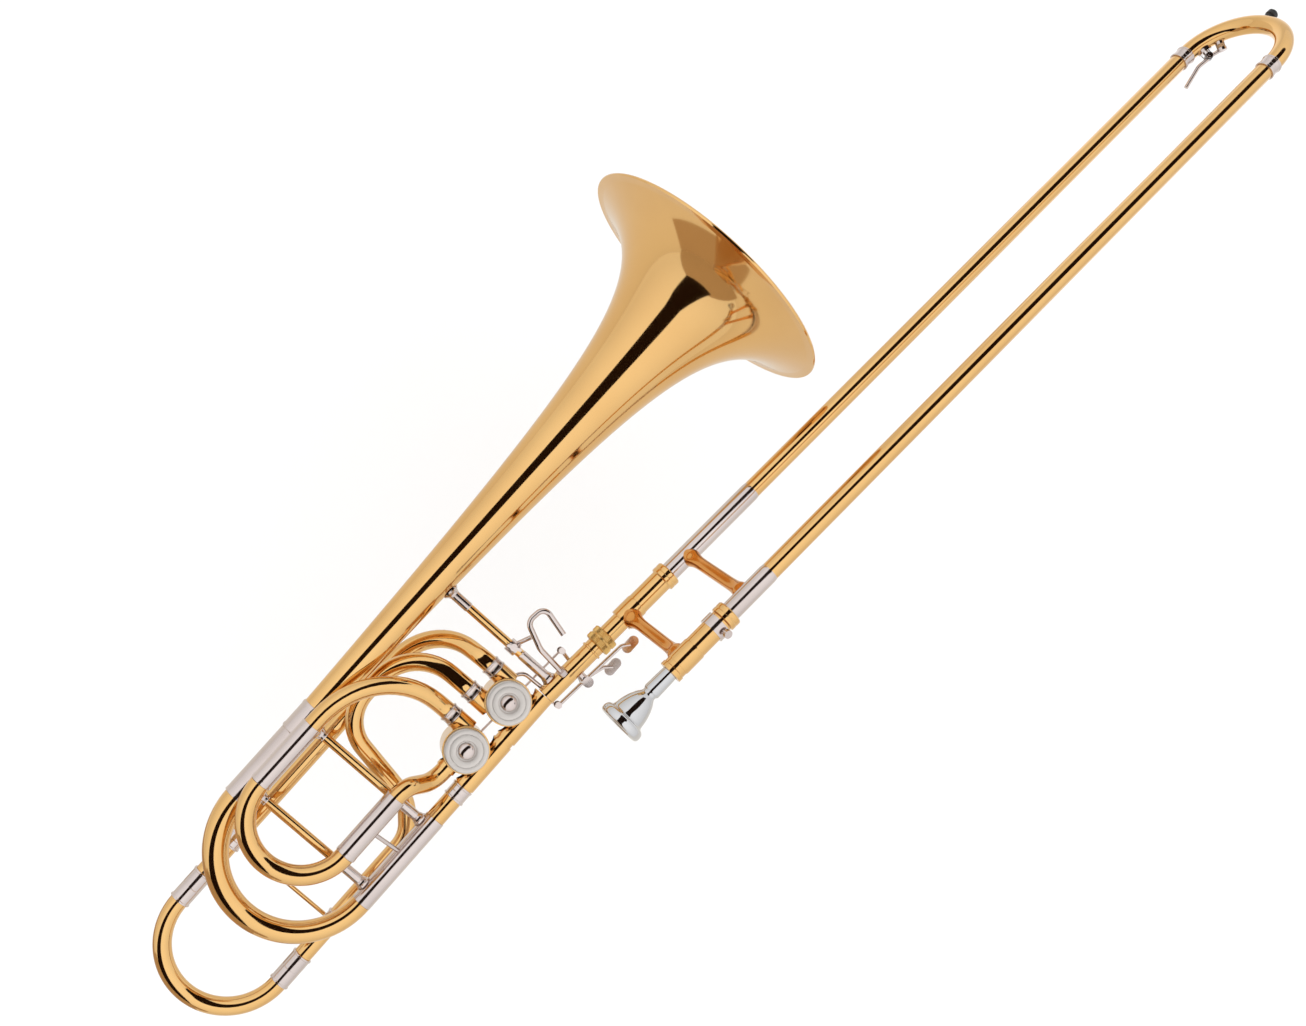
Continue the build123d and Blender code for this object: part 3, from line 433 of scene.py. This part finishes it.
def straight_tubes(name, node, finish, ends, radius, bore, segments=72):
    """Straight tubes of one node, each from one point to another."""
    shape = Shape()
    for start, end in ends:
        shape.turned(start, end, tube_outline((end - start).length / MM, radius, bore), segments, 0.15)
    return shape.piece(name, finish, node=node)


# ---------------------------------------------------------------- bell
RIM_RADIUS = 120.65
RIM_X = 379.6
TAIL_X = -107.2
FLARE_LENGTH = 23.7
FLARE_POWER = -0.7
TAPER = 2.0
WALL = 0.9
BEAD = 1.9
BEAD_SWEEP = 250                    # degrees of the rolled bead's round
BEAD_STEPS = 14
BELL_LENGTH = RIM_X - TAIL_X
BELL_STEPS = 150
BELL_CROWDING = 2.2                 # stations crowd towards the rim by this power
BEHIND_BEAD = 2.2


def bell_radius(behind):
    """Outside radius of the bell at a distance behind its rim."""
    flare = ((behind + FLARE_LENGTH) / FLARE_LENGTH) ** FLARE_POWER
    return RIM_RADIUS * flare - TAPER * (behind / BELL_LENGTH) ** 2


def bell_skin():
    """The bell's outside, its tail, its inside and the rolled bead that finishes the rim."""
    outside, inside = [], []
    for i in range(BELL_STEPS + 1):
        behind = BEHIND_BEAD + (BELL_LENGTH - BEHIND_BEAD) * (i / BELL_STEPS) ** BELL_CROWDING
        radius = bell_radius(behind)
        slope = (radius - bell_radius(behind + 0.01)) / 0.01
        norm = math.hypot(1, slope)
        outside.append((behind, radius))
        inside.append((behind - WALL * slope / norm, radius - WALL / norm))
    bead = []
    for k in range(BEAD_STEPS + 1):
        turn = math.radians(BEAD_SWEEP * (k / BEAD_STEPS - 0.5))
        bead.append((0.6 - BEAD * math.cos(turn), RIM_RADIUS - BEAD + BEAD * math.sin(turn)))
    return bead + outside + inside[::-1]


bell = Shape().turned(bell_at(RIM_X, BELL_Y), bell_at(0, BELL_Y), bell_skin(), 256, 0)
bell.piece("bell_skin", gold, node="bell")

# ---------------------------------------------------------------- main tuning slide
SLEEVE_END = -203.0
SLEEVE = 8.9
SLEEVE_BORE = 7.6
BELL_SLEEVE = 12.2
BELL_SLEEVE_BORE = 10.6
SLEEVE_COLLAR = 12.7
SLEEVE_BEAD = 13.1
MAIN_TUBE = 8.3
MAIN_BORE = 7.15
NECK_SLEEVE_X = -112.0
NECK_LEG_X = VALVE_2 - 24
sleeve_length = TAIL_X - SLEEVE_END
bell_sleeve = Shape().turned(
    bell_at(TAIL_X, BELL_Y), bell_at(SLEEVE_END, BELL_Y),
    [(0, BELL_SLEEVE_BORE), (0, 12.5), (0.8, SLEEVE_BEAD), (3.0, SLEEVE_BEAD), (4.0, SLEEVE_COLLAR),
     (24.0, SLEEVE_COLLAR), (25.0, SLEEVE_BEAD), (27.0, SLEEVE_BEAD), (28.0, BELL_SLEEVE),
     (sleeve_length - 2, BELL_SLEEVE), (sleeve_length, 12.6), (sleeve_length, BELL_SLEEVE_BORE)], 96, 0.5)
bell_sleeve.piece("bell_leg_sleeve_skin", nickel, node="bell_leg_sleeve")
neck_sleeve = [(bell_at(NECK_SLEEVE_X, 0), bell_at(SLEEVE_END, 0))]
straight_tubes("neck_leg_sleeve_skin", "neck_leg_sleeve", nickel, neck_sleeve, SLEEVE, SLEEVE_BORE)
neck_leg = [(bell_at(NECK_LEG_X, 0), bell_at(NECK_SLEEVE_X, 0))]
straight_tubes("neck_leg_skin", "neck_leg_tube", gold, neck_leg, MAIN_TUBE, MAIN_BORE)
bow_x = SLEEVE_END - 0.2
bow_route = half_circle(bell_at(bow_x, BELL_Y / 2), bell_at(bow_x, BELL_Y), -BELL_X, 96)
BOW_WIDE = (11.3, 10.5)             # outside and bore at the bell's leg
BOW_NARROW = (8.7, 7.9)             # and at the neck's leg
main_bow = Shape().swept(bow_route, *BOW_WIDE, 64, *BOW_NARROW)
main_bow.piece("tuning_bow_skin", gold, node="tuning_bow")

# ---------------------------------------------------------------- hand slide
OUTER_TUBE = 7.95
OUTER_BORE = 7.5
OUTER_START = 50.0
OUTER_END = 740.0
INNER_TUBE = 7.42
INNER_BORE = 7.1
INNER_STARTS = (17.4, 9.2)          # on the neck's side and on the mouthpiece's
INNER_END = 728.0
sides = (0.0, SLIDE_GAP)
straight_tubes("outer_slide_skin", "outer_slide_tubes", gold,
               [(slide_at(OUTER_START, side), slide_at(OUTER_END, side)) for side in sides],
               OUTER_TUBE, OUTER_BORE)
straight_tubes("inner_slide_skin", "inner_slide_tubes", bare,
               [(slide_at(start, side), slide_at(INNER_END, side))
                for start, side in zip(INNER_STARTS, sides)], INNER_TUBE, INNER_BORE)
SLIDE_BOW_X = OUTER_END + 2
crown = half_circle(slide_at(SLIDE_BOW_X, SLIDE_GAP / 2), slide_at(SLIDE_BOW_X), Vector((1, 0, 0)), 72)
Shape().swept(crown, OUTER_TUBE, OUTER_BORE, 56).piece("slide_bow_skin", gold, node="slide_bow")

# ---------------------------------------------------------------- hand slide fittings
SLIDE_SLEEVE = 8.45
INNER_BRACE_X = 25.0
SADDLE_X = INNER_BRACE_X + 2.5
OUTER_BRACE_X = 97.4
BARREL = 9.8
BARREL_RING = 11.6
RING_GROOVE = BARREL_RING - 0.3
RING_TOP = BARREL_RING - 0.8
BARREL_FOOT = 10.5
BARREL_MOUTH = 8.75                 # the wide bore that takes the end of the outer slide
RECEIVER = 8.3
NECK_BARREL_X = -3.9
NECK_BARREL = 79.9                  # the length of the neck's barrel with its receiver
MOUTH_BARREL_X = 9.0
MOUTH_BARREL = 69.0
BOW_RING_X = OUTER_END - 9
BOW_RING_LENGTH = 11.0


def ferrule_outline(length, radius, bore):
    """A ring with a bead at each end and a fine groove round its middle."""
    edge = min(1.6, length / 4)
    half = length / 2
    rise = radius + 0.6
    return [(0, bore), (0, radius + 0.3), (0.3, rise), (edge, rise), (edge + 0.3, radius),
            (half - 0.35, radius), (half, radius - 0.2), (half + 0.35, radius), (length - edge - 0.3, radius),
            (length - edge, rise), (length - 0.3, rise), (length, radius + 0.3), (length, bore)]


sleeve_ends = ((0.0, 177.0), (SLIDE_GAP, 124.0))
sleeves = Shape()
for side, end in sleeve_ends:
    length = end - OUTER_START
    sleeves.turned(slide_at(OUTER_START, side), slide_at(end, side),
                   [(0, OUTER_TUBE), (0, SLIDE_SLEEVE), (length - 3, SLIDE_SLEEVE),
                    (length, OUTER_TUBE + 0.12), (length, OUTER_TUBE)], 72, 0.1)
sleeves.piece("slide_sleeve_skin", nickel, node="slide_sleeves")
bow_rings = Shape()
for side in sides:
    bow_rings.turned(slide_at(BOW_RING_X, side), slide_at(BOW_RING_X + BOW_RING_LENGTH, side),
                     ferrule_outline(BOW_RING_LENGTH, SLIDE_SLEEVE, OUTER_TUBE))
bow_rings.piece("slide_bow_rings", nickel, node="slide_bow_ferrules")


def barrel_end(length, depth):
    """The far end of a cork barrel: its grooved ring and the wide bore behind it."""
    return [(length - 10, BARREL), (length - 9, BARREL_RING), (length - 5.7, BARREL_RING),
            (length - 5.3, RING_GROOVE), (length - 4.7, RING_GROOVE), (length - 4.3, BARREL_RING),
            (length - 1, BARREL_RING), (length, RING_TOP), (length, BARREL_MOUTH),
            (length - depth, BARREL_MOUTH), (length - depth, INNER_TUBE)]


neck_barrel = Shape().turned(
    slide_at(NECK_BARREL_X), slide_at(NECK_BARREL_X + NECK_BARREL),
    [(0, MAIN_BORE), (0, RECEIVER), (21.1, RECEIVER), (21.1, BARREL_FOOT), (22.0, BARREL_FOOT),
     (22.4, BARREL)] + barrel_end(NECK_BARREL, 36.0) + [(21.2, INNER_TUBE), (21.2, MAIN_BORE)], 96, 0.3)
neck_barrel.piece("neck_barrel_skin", gold, node="neck_cork_barrel")
mouth_barrel = Shape().turned(
    slide_at(MOUTH_BARREL_X, SLIDE_GAP), slide_at(MOUTH_BARREL_X + MOUTH_BARREL, SLIDE_GAP),
    [(0, INNER_TUBE), (0, BARREL_FOOT), (4.0, BARREL_FOOT), (4.4, BARREL)] + barrel_end(MOUTH_BARREL, 38.0),
    96, 0.3)
mouth_barrel.piece("mouth_barrel_skin", gold, node="mouth_cork_barrel")

# A grip's radius at distances from its tube's wall, from the foot to the waist.
GRIP_FLARE = ((0.5, 8.6), (1.2, 8.5), (2.4, 8.05), (4.0, 7.3),
              (6.2, 6.55), (9.0, 5.95), (12.5, 5.55), (17.0, 5.4))
GRIP_SINK = 0.3
GRIP_SHARE = 0.9                    # the most of its tube's radius that a grip's foot may take
GRIP_SEGMENTS = 64


def hand_grip(name, node, x, wall):
    """A grip bar between the two tubes; each flared foot is cut to the round of its tube."""
    turns = [2 * math.pi * k / GRIP_SEGMENTS for k in range(GRIP_SEGMENTS)]
    waist = GRIP_FLARE[-1][1]
    widest = min(GRIP_FLARE[0][1], GRIP_SHARE * wall)
    share = (widest - waist) / (GRIP_FLARE[0][1] - waist)

    def ring(along, radius):
        """A round section of the bar."""
        return [slide_at(x + radius * math.cos(turn), along, radius * math.sin(turn)) for turn in turns]

    def foot(side, sign):
        """The skirt that meets the tube, then the flare, going away from one tube."""
        skirt = []
        for turn in turns:
            across = widest * math.sin(turn)
            depth = math.sqrt(wall ** 2 - across ** 2) - GRIP_SINK
            skirt.append(slide_at(x + widest * math.cos(turn), side + sign * depth, across))
        rings = [[slide_at(x, side + sign * (wall - GRIP_SINK))], skirt]
        return rings + [ring(side + sign * (wall + d), waist + (radius - waist) * share)
                        for d, radius in GRIP_FLARE]

    shape = Shape()
    shape.rings(foot(0, 1) + foot(SLIDE_GAP, -1)[::-1], closed_run=False)
    shape.piece(name, grip, node=node)


def grip_saddles(name, body, x, wall):
    """The soldered saddles that carry a grip on its two tubes."""
    edge, top = wall + 0.25, wall + 0.6
    shape = Shape()
    for side in sides:
        shape.turned(slide_at(x - 10, side), slide_at(x + 10, side),
                     [(0, wall), (0, edge), (1.4, top), (18.6, top), (20.0, edge), (20.0, wall)], 72, 0.3)
    shape.piece(name, gold, body=body, slot="gold_lacquer")


hand_grip("inner_grip", "inner_slide_brace", INNER_BRACE_X, BARREL)
hand_grip("outer_grip", "outer_slide_brace", OUTER_BRACE_X, SLIDE_SLEEVE)
grip_saddles("inner_grip_saddles", "bell_section", SADDLE_X, BARREL)

# ---------------------------------------------------------------- neckpipe, lock nut, mouthpiece
NECKPIPE_X = 24.0                   # where the first valve's housing ends
NECKPIPE_END = -4.0
NECK_RING_X = -19.5
NUT_X = -12.5
NUT = 11.8
NUT_BORE = 8.4
NUT_GROOVE = 11.1
NUT_KNURL = (11.3, 52, 0.5)
neckpipe = [(slide_at(bell_at(NECKPIPE_X, 0).x / MM + 0.6), slide_at(NECKPIPE_END))]
straight_tubes("neckpipe_skin", "neckpipe", gold, neckpipe, MAIN_TUBE, MAIN_BORE)
neck_ring = Shape().turned(
    slide_at(NECK_RING_X), slide_at(0),
    [(0, MAIN_TUBE), (0, 9.0), (0.4, 9.4), (1.6, 9.4), (2.0, 9.0), (2.0, MAIN_TUBE)], 72, 0.15)
neck_ring.piece("neck_ring_skin", gold, node="neckpipe_ring")
lock_nut = Shape().turned(
    slide_at(NUT_X), slide_at(1),
    [(0, NUT_BORE), (0, NUT - 1), (0.9, NUT), (5.4, NUT), (5.7, NUT_GROOVE), (7.3, NUT_GROOVE), (7.6, NUT),
     (12.1, NUT), (13.0, NUT - 1), (13.0, NUT_BORE)], 208, 0.15, NUT_KNURL)
lock_nut.piece("lock_nut_skin", nut_metal, node="lock_nut")

# The mouthpiece's outline runs from the rim's inner edge down the cup, out at the shank's end and back up
# the outside. Its distances are from the face of the rim.
MOUTHPIECE_X = -50.0
CUP = [(0.05, 16.0), (0.25, 15.0), (0.8, 14.2), (1.6, 13.6), (2.6, 13.2), (6.0, 12.6), (9.0, 12.25),
       (12.0, 11.8), (15.0, 11.15), (18.0, 10.2), (20.5, 9.1), (23.0, 7.6), (25.0, 6.2), (27.0, 4.9),
       (29.0, 4.0)]
THROAT = [(31.0, 3.6), (38.0, 3.6), (88.0, 5.4)]
SHANK = [(88.0, 6.1), (61.0, 6.55), (56.0, 6.8), (50.0, 7.0), (39.0, 7.3), (37.9, 7.28)]
NECK = [(37.2, 6.9), (36.6, 6.35), (36.0, 6.12), (34.9, 6.08), (34.2, 6.2), (33.4, 6.6)]
BOWL = [(32.4, 7.3), (31.0, 8.3), (29.3, 9.35), (27.5, 10.2), (25.3, 11.2), (23.0, 12.0), (20.5, 12.75),
        (18.0, 13.4), (15.5, 13.85), (13.0, 14.2), (11.4, 14.5), (10.4, 14.8)]
RIM = [(9.8, 15.3), (9.3, 16.1), (8.8, 17.2), (8.2, 18.0), (7.3, 18.7), (6.2, 19.15), (5.0, 19.42),
       (3.8, 19.5), (2.6, 19.42), (1.5, 19.05), (0.7, 18.45), (0.2, 17.6), (0.0, 16.8)]
mouthpiece = Shape().turned(slide_at(MOUTHPIECE_X, SLIDE_GAP), slide_at(0, SLIDE_GAP),
                            CUP + THROAT + SHANK + NECK + BOWL + RIM, 128, 0)
mouthpiece.piece("mouthpiece_skin", silver, node="mouthpiece")

# ---------------------------------------------------------------- loops
LOOP_TUBE = 7.8
LOOP_BORE = 7.1
LEG_BORE = 7.6
PORT_SIDE = 13.5
LOOP_START = 43.2
F_LEG_Y = 110.5
F_RETURN_Y = 2.2
F_Z = -34.0
F_START = -227.6
F_BOW_X = -303.2
F_LEG_END = -228.0
F_LEG_BORE = 7.55
F_RINGS = ((-303.0, 30.0), (-243.0, 14.0))   # where each ferrule of a leg starts, and its length
PORT_RING = 8.6
D_LEG_Y = 129.5
D_RETURN_Y = 40.1
D_Z = 27.0
D_SLEEVE_X = (-117.0, -178.0)
D_BOW_TUBE = 8.4


def loop(name, node, corners, bends, bore):
    """A bent loop tube through corners of the bell section's frame."""
    route = rounded_route([bell_at(*corner) for corner in corners], bends)
    Shape().swept(route, LOOP_TUBE, bore, 56).piece(name, gold, node=node)


loop("f_upper_skin", "f_loop_upper_tube",
     [(PORT_SIDE, LOOP_START), (PORT_SIDE, 59.8), (9.5, F_LEG_Y, F_Z), (F_START, F_LEG_Y, F_Z)],
     [24, 50], LEG_BORE)
loop("f_lower_skin", "f_loop_lower_tube",
     [(-PORT_SIDE, LOOP_START), (-PORT_SIDE, 57), (-15, 111, -8), (-103, 113, -16), (-119, 24, -33),
      (-142, F_RETURN_Y, F_Z), (F_START, F_RETURN_Y, F_Z)], [24, 44, 38, 36, 30], LEG_BORE)
loop("d_upper_skin", "d_loop_tube",
     [(VALVE_2 + PORT_SIDE, LOOP_START), (VALVE_2 + PORT_SIDE, 57), (VALVE_2 + 12, D_LEG_Y, D_Z),
      (D_SLEEVE_X[0], D_LEG_Y, D_Z)], [24, 70], LOOP_BORE)
loop("d_return_skin", "d_loop_return_tube",
     [(VALVE_2 - 24.1, ROTOR_SIDE), (-90, ROTOR_SIDE), (-106, D_RETURN_Y, D_Z),
      (D_SLEEVE_X[0], D_RETURN_Y, D_Z)], [21, 17], LOOP_BORE)

f_middle = (F_LEG_Y + F_RETURN_Y) / 2
f_crown = half_circle(bell_at(F_BOW_X, f_middle, F_Z), bell_at(F_BOW_X, F_LEG_Y, F_Z), -BELL_X, 80)
Shape().swept(f_crown, LOOP_TUBE, LOOP_BORE, 56).piece("f_bow_skin", gold, node="f_slide_bow")
f_legs = (F_LEG_Y, F_RETURN_Y)
straight_tubes("f_leg_skin", "f_slide_legs", gold,
               [(bell_at(F_BOW_X + 0.1, y, F_Z), bell_at(F_LEG_END, y, F_Z)) for y in f_legs],
               LOOP_TUBE, F_LEG_BORE)
f_rings = Shape()
for y in f_legs:
    for x, length in F_RINGS:
        f_rings.turned(bell_at(x, y, F_Z), bell_at(x + length, y, F_Z),
                       ferrule_outline(length, PORT_RING, LOOP_TUBE))
f_rings.piece("f_slide_rings", nickel, node="f_slide_ferrules")

d_middle = (D_LEG_Y + D_RETURN_Y) / 2
d_bow_x = D_SLEEVE_X[1] - 0.3
d_crown = half_circle(bell_at(d_bow_x, d_middle, D_Z), bell_at(d_bow_x, D_LEG_Y, D_Z), -BELL_X, 72)
Shape().swept(d_crown, D_BOW_TUBE, LOOP_BORE, 56).piece("d_bow_skin", gold, node="d_slide_bow")
d_sleeves = Shape()
for y in (D_LEG_Y, D_RETURN_Y):
    d_sleeves.turned(bell_at(D_SLEEVE_X[0] + 0.1, y, D_Z), bell_at(D_SLEEVE_X[1], y, D_Z),
                     [(0, SLEEVE_BORE), (0, SLEEVE), (57.4, SLEEVE), (57.8, SLEEVE + 0.25),
                      (60.7, SLEEVE + 0.25), (61.1, SLEEVE), (61.1, SLEEVE_BORE)], 72, 0.3)
d_sleeves.piece("d_sleeve_skin", nickel, node="d_slide_sleeves")

# ---------------------------------------------------------------- valves
CASING = 19.3
CASING_HALF = 20.0
CAP_SEAT = 4.0                      # the height on the cap where its boss sits
CAP_KNURL = (18.3, 72, 0.35)
CASING_RIM = CASING + 0.5


def over_valve(place, height):
    """A point over or under a place, at a height above the middle plane of the valves."""
    return Vector((place.x, place.y, height * MM))


caps = Shape()
for place in valve_places:
    top = over_valve(place, CASING_HALF)
    caps.turned(top, top + UP,
                [(0, 0), (0, 17.9), (0.5, 18.8), (3.3, 18.8), (3.9, 18.2), (4.4, 17.6), (4.45, 14.2),
                 (4.25, 14.0), (4.25, 13.6), (4.45, 13.4), (4.4, 8.6), (CAP_SEAT, 8.2), (CAP_SEAT, 0)],
                288, 0.1, CAP_KNURL)
caps.piece("valve_cap_skins", cap_metal, node="valve_caps")
bosses = Shape()
for place in valve_places:
    seat = over_valve(place, CASING_HALF + CAP_SEAT)
    bosses.turned(seat, seat + UP,
                  [(0, 0), (0, 7.0), (0.9, 7.0), (1.7, 6.75), (2.6, 6.2), (3.4, 5.4), (4.0, 4.3),
                   (4.45, 2.9), (4.7, 1.5), (4.8, 0)], 64, 0)
bosses.piece("valve_cap_bosses", nickel, body="bell_section", slot="nickel_silver")
rims = Shape()
for place in valve_places:
    foot = over_valve(place, CASING_HALF - 4.0)
    rims.turned(foot, foot + UP, [(0, CASING), (0.3, CASING_RIM), (3.6, CASING_RIM), (3.9, CASING)], 96, 0.15)
rims.piece("casing_rims", gold, body="bell_section", slot="gold_lacquer")

port_rings = Shape()
for x in (PORT_SIDE, -PORT_SIDE, VALVE_2 + PORT_SIDE):
    port_rings.turned(bell_at(x, LOOP_START), bell_at(x, 90), ferrule_outline(9.0, PORT_RING, LOOP_TUBE))
port_rings.turned(bell_at(VALVE_2 - 25, 0), bell_at(VALVE_2 - 60, 0), ferrule_outline(13.0, 9.0, MAIN_TUBE))
port_rings.piece("valve_rings", nickel, node="valve_ferrules")


SLOT_WIDTH = 0.7
HALF_STEPS = 16
HEAD_TAPER = 0.94


def slotted_head(shape, top, axis, radius, height):
    """A screw head with a driver slot across it, made of a disc and two raised halves."""
    side, other = axes_about(axis)
    disc_height = height * 0.5
    shape.turned(top, top + axis, [(0, 0), (0, radius), (disc_height, radius), (disc_height, 0)], 40, 0.05)
    limit = math.acos(SLOT_WIDTH / 2 / radius)
    for sign in (1, -1):
        outline = []
        for k in range(HALF_STEPS + 1):
            turn = -limit + 2 * limit * k / HALF_STEPS
            outline.append((sign * math.cos(turn) * radius, sign * math.sin(turn) * radius))
        low = [top + (side * a + other * b + axis * height * 0.45) * MM for a, b in outline]
        high = [top + ((side * a + other * b) * HEAD_TAPER + axis * height) * MM for a, b in outline]
        start = len(shape.vertices)
        count = len(outline)
        shape.vertices += [tuple(point) for point in low + high]
        for k in range(count):
            n = (k + 1) % count
            shape.faces.append((start + k, start + n, start + count + n, start + count + k))
        shape.faces.append(tuple(range(start + count, start + 2 * count)))
        shape.faces.append(tuple(range(start + count - 1, start - 1, -1)))


ROTOR_TAIL = -28.0
STOP_ARM = 8.27
BUMPER_TURNS = ((80.0, -80.0), (-10.0, -170.0))   # degrees round each valve's axis
for number, place in enumerate(valve_places, start=1):
    screw = Shape()
    slotted_head(screw, over_valve(place, ROTOR_TAIL), -UP, 3.0, 0.8)
    screw.piece(f"stop_screw_{number}", steel, body=f"rotor_{number}", slot="nickel_silver")
    stops = Shape()
    for degrees in BUMPER_TURNS[number - 1]:
        turn = math.radians(degrees)
        spoke = BELL_X * math.cos(turn) + BELL_ACROSS * math.sin(turn)
        foot = over_valve(place, -CASING_HALF) + spoke * STOP_ARM * MM
        stops.turned(foot, foot - UP, [(0, 0), (0, 2.1), (6.8, 2.1), (7.2, 1.6), (7.2, 0)], 32, 0.2)
    stops.piece(f"stop_corks_{number}", rubber, body="bell_section", slot="black_rubber")


COIL_STEPS = 24


def coil(foot, axis, radius, wire, rise, turns):
    """A coil spring of round wire with both ends left straight."""
    side, other = axes_about(axis)
    route = []
    count = int(turns * COIL_STEPS)
    for k in range(count + 1):
        turn = 2 * math.pi * turns * k / count
        route.append(foot + (side * math.cos(turn) + other * math.sin(turn)) * radius * MM
                     + axis * rise * k / count * MM)
    first = (other * -1) * MM * radius * 1.6
    last_turn = 2 * math.pi * turns
    last = (other * math.cos(last_turn) - side * math.sin(last_turn)) * MM * radius * 1.6
    return Shape().swept([route[0] + first] + route + [route[-1] + last], wire, segments=12)


SPRING_WIRE = 0.4
LEVER_SPRING_Z = -16.95
KEY_SPRING_LENGTH = 5.2
spring_foot = over_valve(Vector(joints["lever_1_press"]["pos_m"]), LEVER_SPRING_Z)
lever_spring = coil(spring_foot, -UP, 2.9, SPRING_WIRE, 1.1, 1.5)
lever_spring.piece("lever_spring", steel, body="bell_section", slot="nickel_silver")
key = joints["water_key_pivot"]
key_axis = Vector(key["axis"]).normalized()
key_spring_foot = Vector(key["pos_m"]) - key_axis * KEY_SPRING_LENGTH / 2 * MM
key_spring = coil(key_spring_foot, key_axis, 3.05, SPRING_WIRE, KEY_SPRING_LENGTH, 5.5)
key_spring.piece("water_key_spring", steel, body="hand_slide", slot="nickel_silver")

# ---------------------------------------------------------------- studio
FLOOR_SIZE = 14.0
FLOOR_DROP = 0.30
STUDIO_X = 0.2
# The reach of the pool of light painted into the paper's colour.
LIGHT_POOL_RADIUS = 2.6
lowest = cad_box[0][2]
middle = Vector((STUDIO_X, 0.0, lowest - FLOOR_DROP))
bpy.ops.mesh.primitive_plane_add(size=FLOOR_SIZE, location=middle)
floor = bpy.context.object
floor.name = "floor"
paper = Nodes("white paper")
# The paper's colour carries a painted pool of light: brightest under the instrument and greying off towards
# the walls.
painted_light_pool = paper.add("ShaderNodeTexGradient", gradient_type="SPHERICAL")
scaled = paper.add("ShaderNodeMapping")
scaled.inputs["Scale"].default_value = [1 / LIGHT_POOL_RADIUS] * 3
paper.link(paper.place, scaled.inputs["Vector"])
paper.link(scaled.outputs["Vector"], painted_light_pool.inputs["Vector"])
paper.link(paper.ramp(painted_light_pool.outputs["Fac"], [(0.0, (0.72, 0.71, 0.69)), (0.62, (0.95, 0.95, 0.95))]),
           paper.shader.inputs["Base Color"])
paper.set(Roughness=0.9)
floor.data.materials.append(paper.material)

# A long dark strip above the camera gives every polished tube its black line. A brown disc at its end and
# a brown mat on the floor before the disc make the warm patch in the bell's flare. They show in the metal
# only. Each station of the strip is its x and its two edges, across from the camera.
STRIP_STATIONS = ((-3.6, -1.22, 0.80), (-1.3, -0.40, 0.65), (-0.7, -0.17, 0.50), (0.3, -0.17, 0.50),
                  (0.7, -0.34, 0.60), (1.4, -0.40, 0.75), (2.7, -0.40, 0.80))
STRIP_LIFT = 0.03
DISC_RADIUS = 1.5
DISC_X = -3.3
DISC_Y = CAMERA_AT.y - 0.28
DISC_Z = 0.2
DISC_SIDES = 48
MAT_END = -0.5
MAT_LIFT = 0.004
SHEET_LIFT = 0.002
SHEET_REACH = 6.8
SHEET_END = 0.8


def card(name, points, finish):
    """A flat card of the studio that shows only in reflections."""
    mesh = bpy.data.meshes.new(name)
    mesh.from_pydata(points, [], [tuple(range(len(points)))])
    thing = bpy.data.objects.new(name, mesh)
    bpy.context.scene.collection.objects.link(thing)
    mesh.materials.append(finish)
    thing.visible_camera = False
    thing.visible_diffuse = False
    thing.visible_shadow = False


def cloth(name, colour):
    """Cloth of one even colour, with no gloss."""
    m = Nodes(name)
    m.set(Base_Color=(*colour, 1.0), Roughness=1.0, Specular_IOR_Level=0.0)
    return m.material


strip_z = CAMERA_AT.z + STRIP_LIFT
low_edge = [(x, CAMERA_AT.y + low, strip_z) for x, low, high in STRIP_STATIONS]
high_edge = [(x, CAMERA_AT.y + high, strip_z) for x, low, high in STRIP_STATIONS]
card("dark_strip", low_edge + high_edge[::-1], cloth("dark cloth", (0.014, 0.006, 0.003)))
disc = []
for k in range(DISC_SIDES):
    turn = 2 * math.pi * k / DISC_SIDES
    disc.append((DISC_X, DISC_Y + DISC_RADIUS * math.cos(turn), DISC_Z + DISC_RADIUS * math.sin(turn)))
card("brown_disc", disc, cloth("brown cloth", (0.50, 0.39, 0.29)))
mat_z = middle.z + MAT_LIFT
card("brown_mat", [(DISC_X, DISC_Y - 1.0, mat_z), (MAT_END, DISC_Y + 0.05, mat_z),
                   (MAT_END, DISC_Y + 0.5, mat_z), (DISC_X, DISC_Y + 1.4, mat_z)],
     cloth("brown felt", (0.44, 0.335, 0.24)))
# A greyer sheet over the white paper, again only in the metal, keeps the bell's flare a deep gold.
sheet_z = middle.z + SHEET_LIFT
card("grey_sheet", [(-SHEET_REACH, -SHEET_REACH, sheet_z), (SHEET_END, -SHEET_REACH, sheet_z),
                    (SHEET_END, SHEET_REACH, sheet_z), (-SHEET_REACH, SHEET_REACH, sheet_z)],
     cloth("grey cloth", (0.74, 0.71, 0.66)))

# The walls and ceiling: a soft white that brightens from the horizon to overhead.
SKY_HEIGHTS = (0.1, 0.98)
SKY_STRENGTHS = (0.88, 1.15)

world = bpy.data.worlds.new("studio")
world.use_nodes = True
tree = world.node_tree
direction = tree.nodes.new("ShaderNodeTexCoord")
split = tree.nodes.new("ShaderNodeSeparateXYZ")
tree.links.new(direction.outputs["Generated"], split.inputs["Vector"])
sky = tree.nodes.new("ShaderNodeMapRange")
sky.inputs["From Min"].default_value, sky.inputs["From Max"].default_value = SKY_HEIGHTS
sky.inputs["To Min"].default_value, sky.inputs["To Max"].default_value = SKY_STRENGTHS
tree.links.new(split.outputs["Z"], sky.inputs["Value"])
tree.links.new(sky.outputs["Result"], tree.nodes["Background"].inputs["Strength"])
tree.nodes["Background"].inputs["Color"].default_value = (1.0, 1.0, 1.0, 1.0)
bpy.context.scene.world = world
bpy.context.scene.view_settings.view_transform = "Standard"

# A broad soft lamp lifts the paper to white without showing in the metal.
LAMP_SIZE = 4.0
LAMP_POWER = 13.0
LAMP_HEIGHT = 2.6
lamp_data = bpy.data.lights.new("paper_lamp", "AREA")
lamp_data.shape = "SQUARE"
lamp_data.size = LAMP_SIZE
lamp_data.energy = LAMP_POWER
lamp = bpy.data.objects.new("paper_lamp", lamp_data)
lamp.location = (STUDIO_X, 0.0, LAMP_HEIGHT)
lamp.visible_glossy = False
lamp.visible_camera = False
bpy.context.scene.collection.objects.link(lamp)
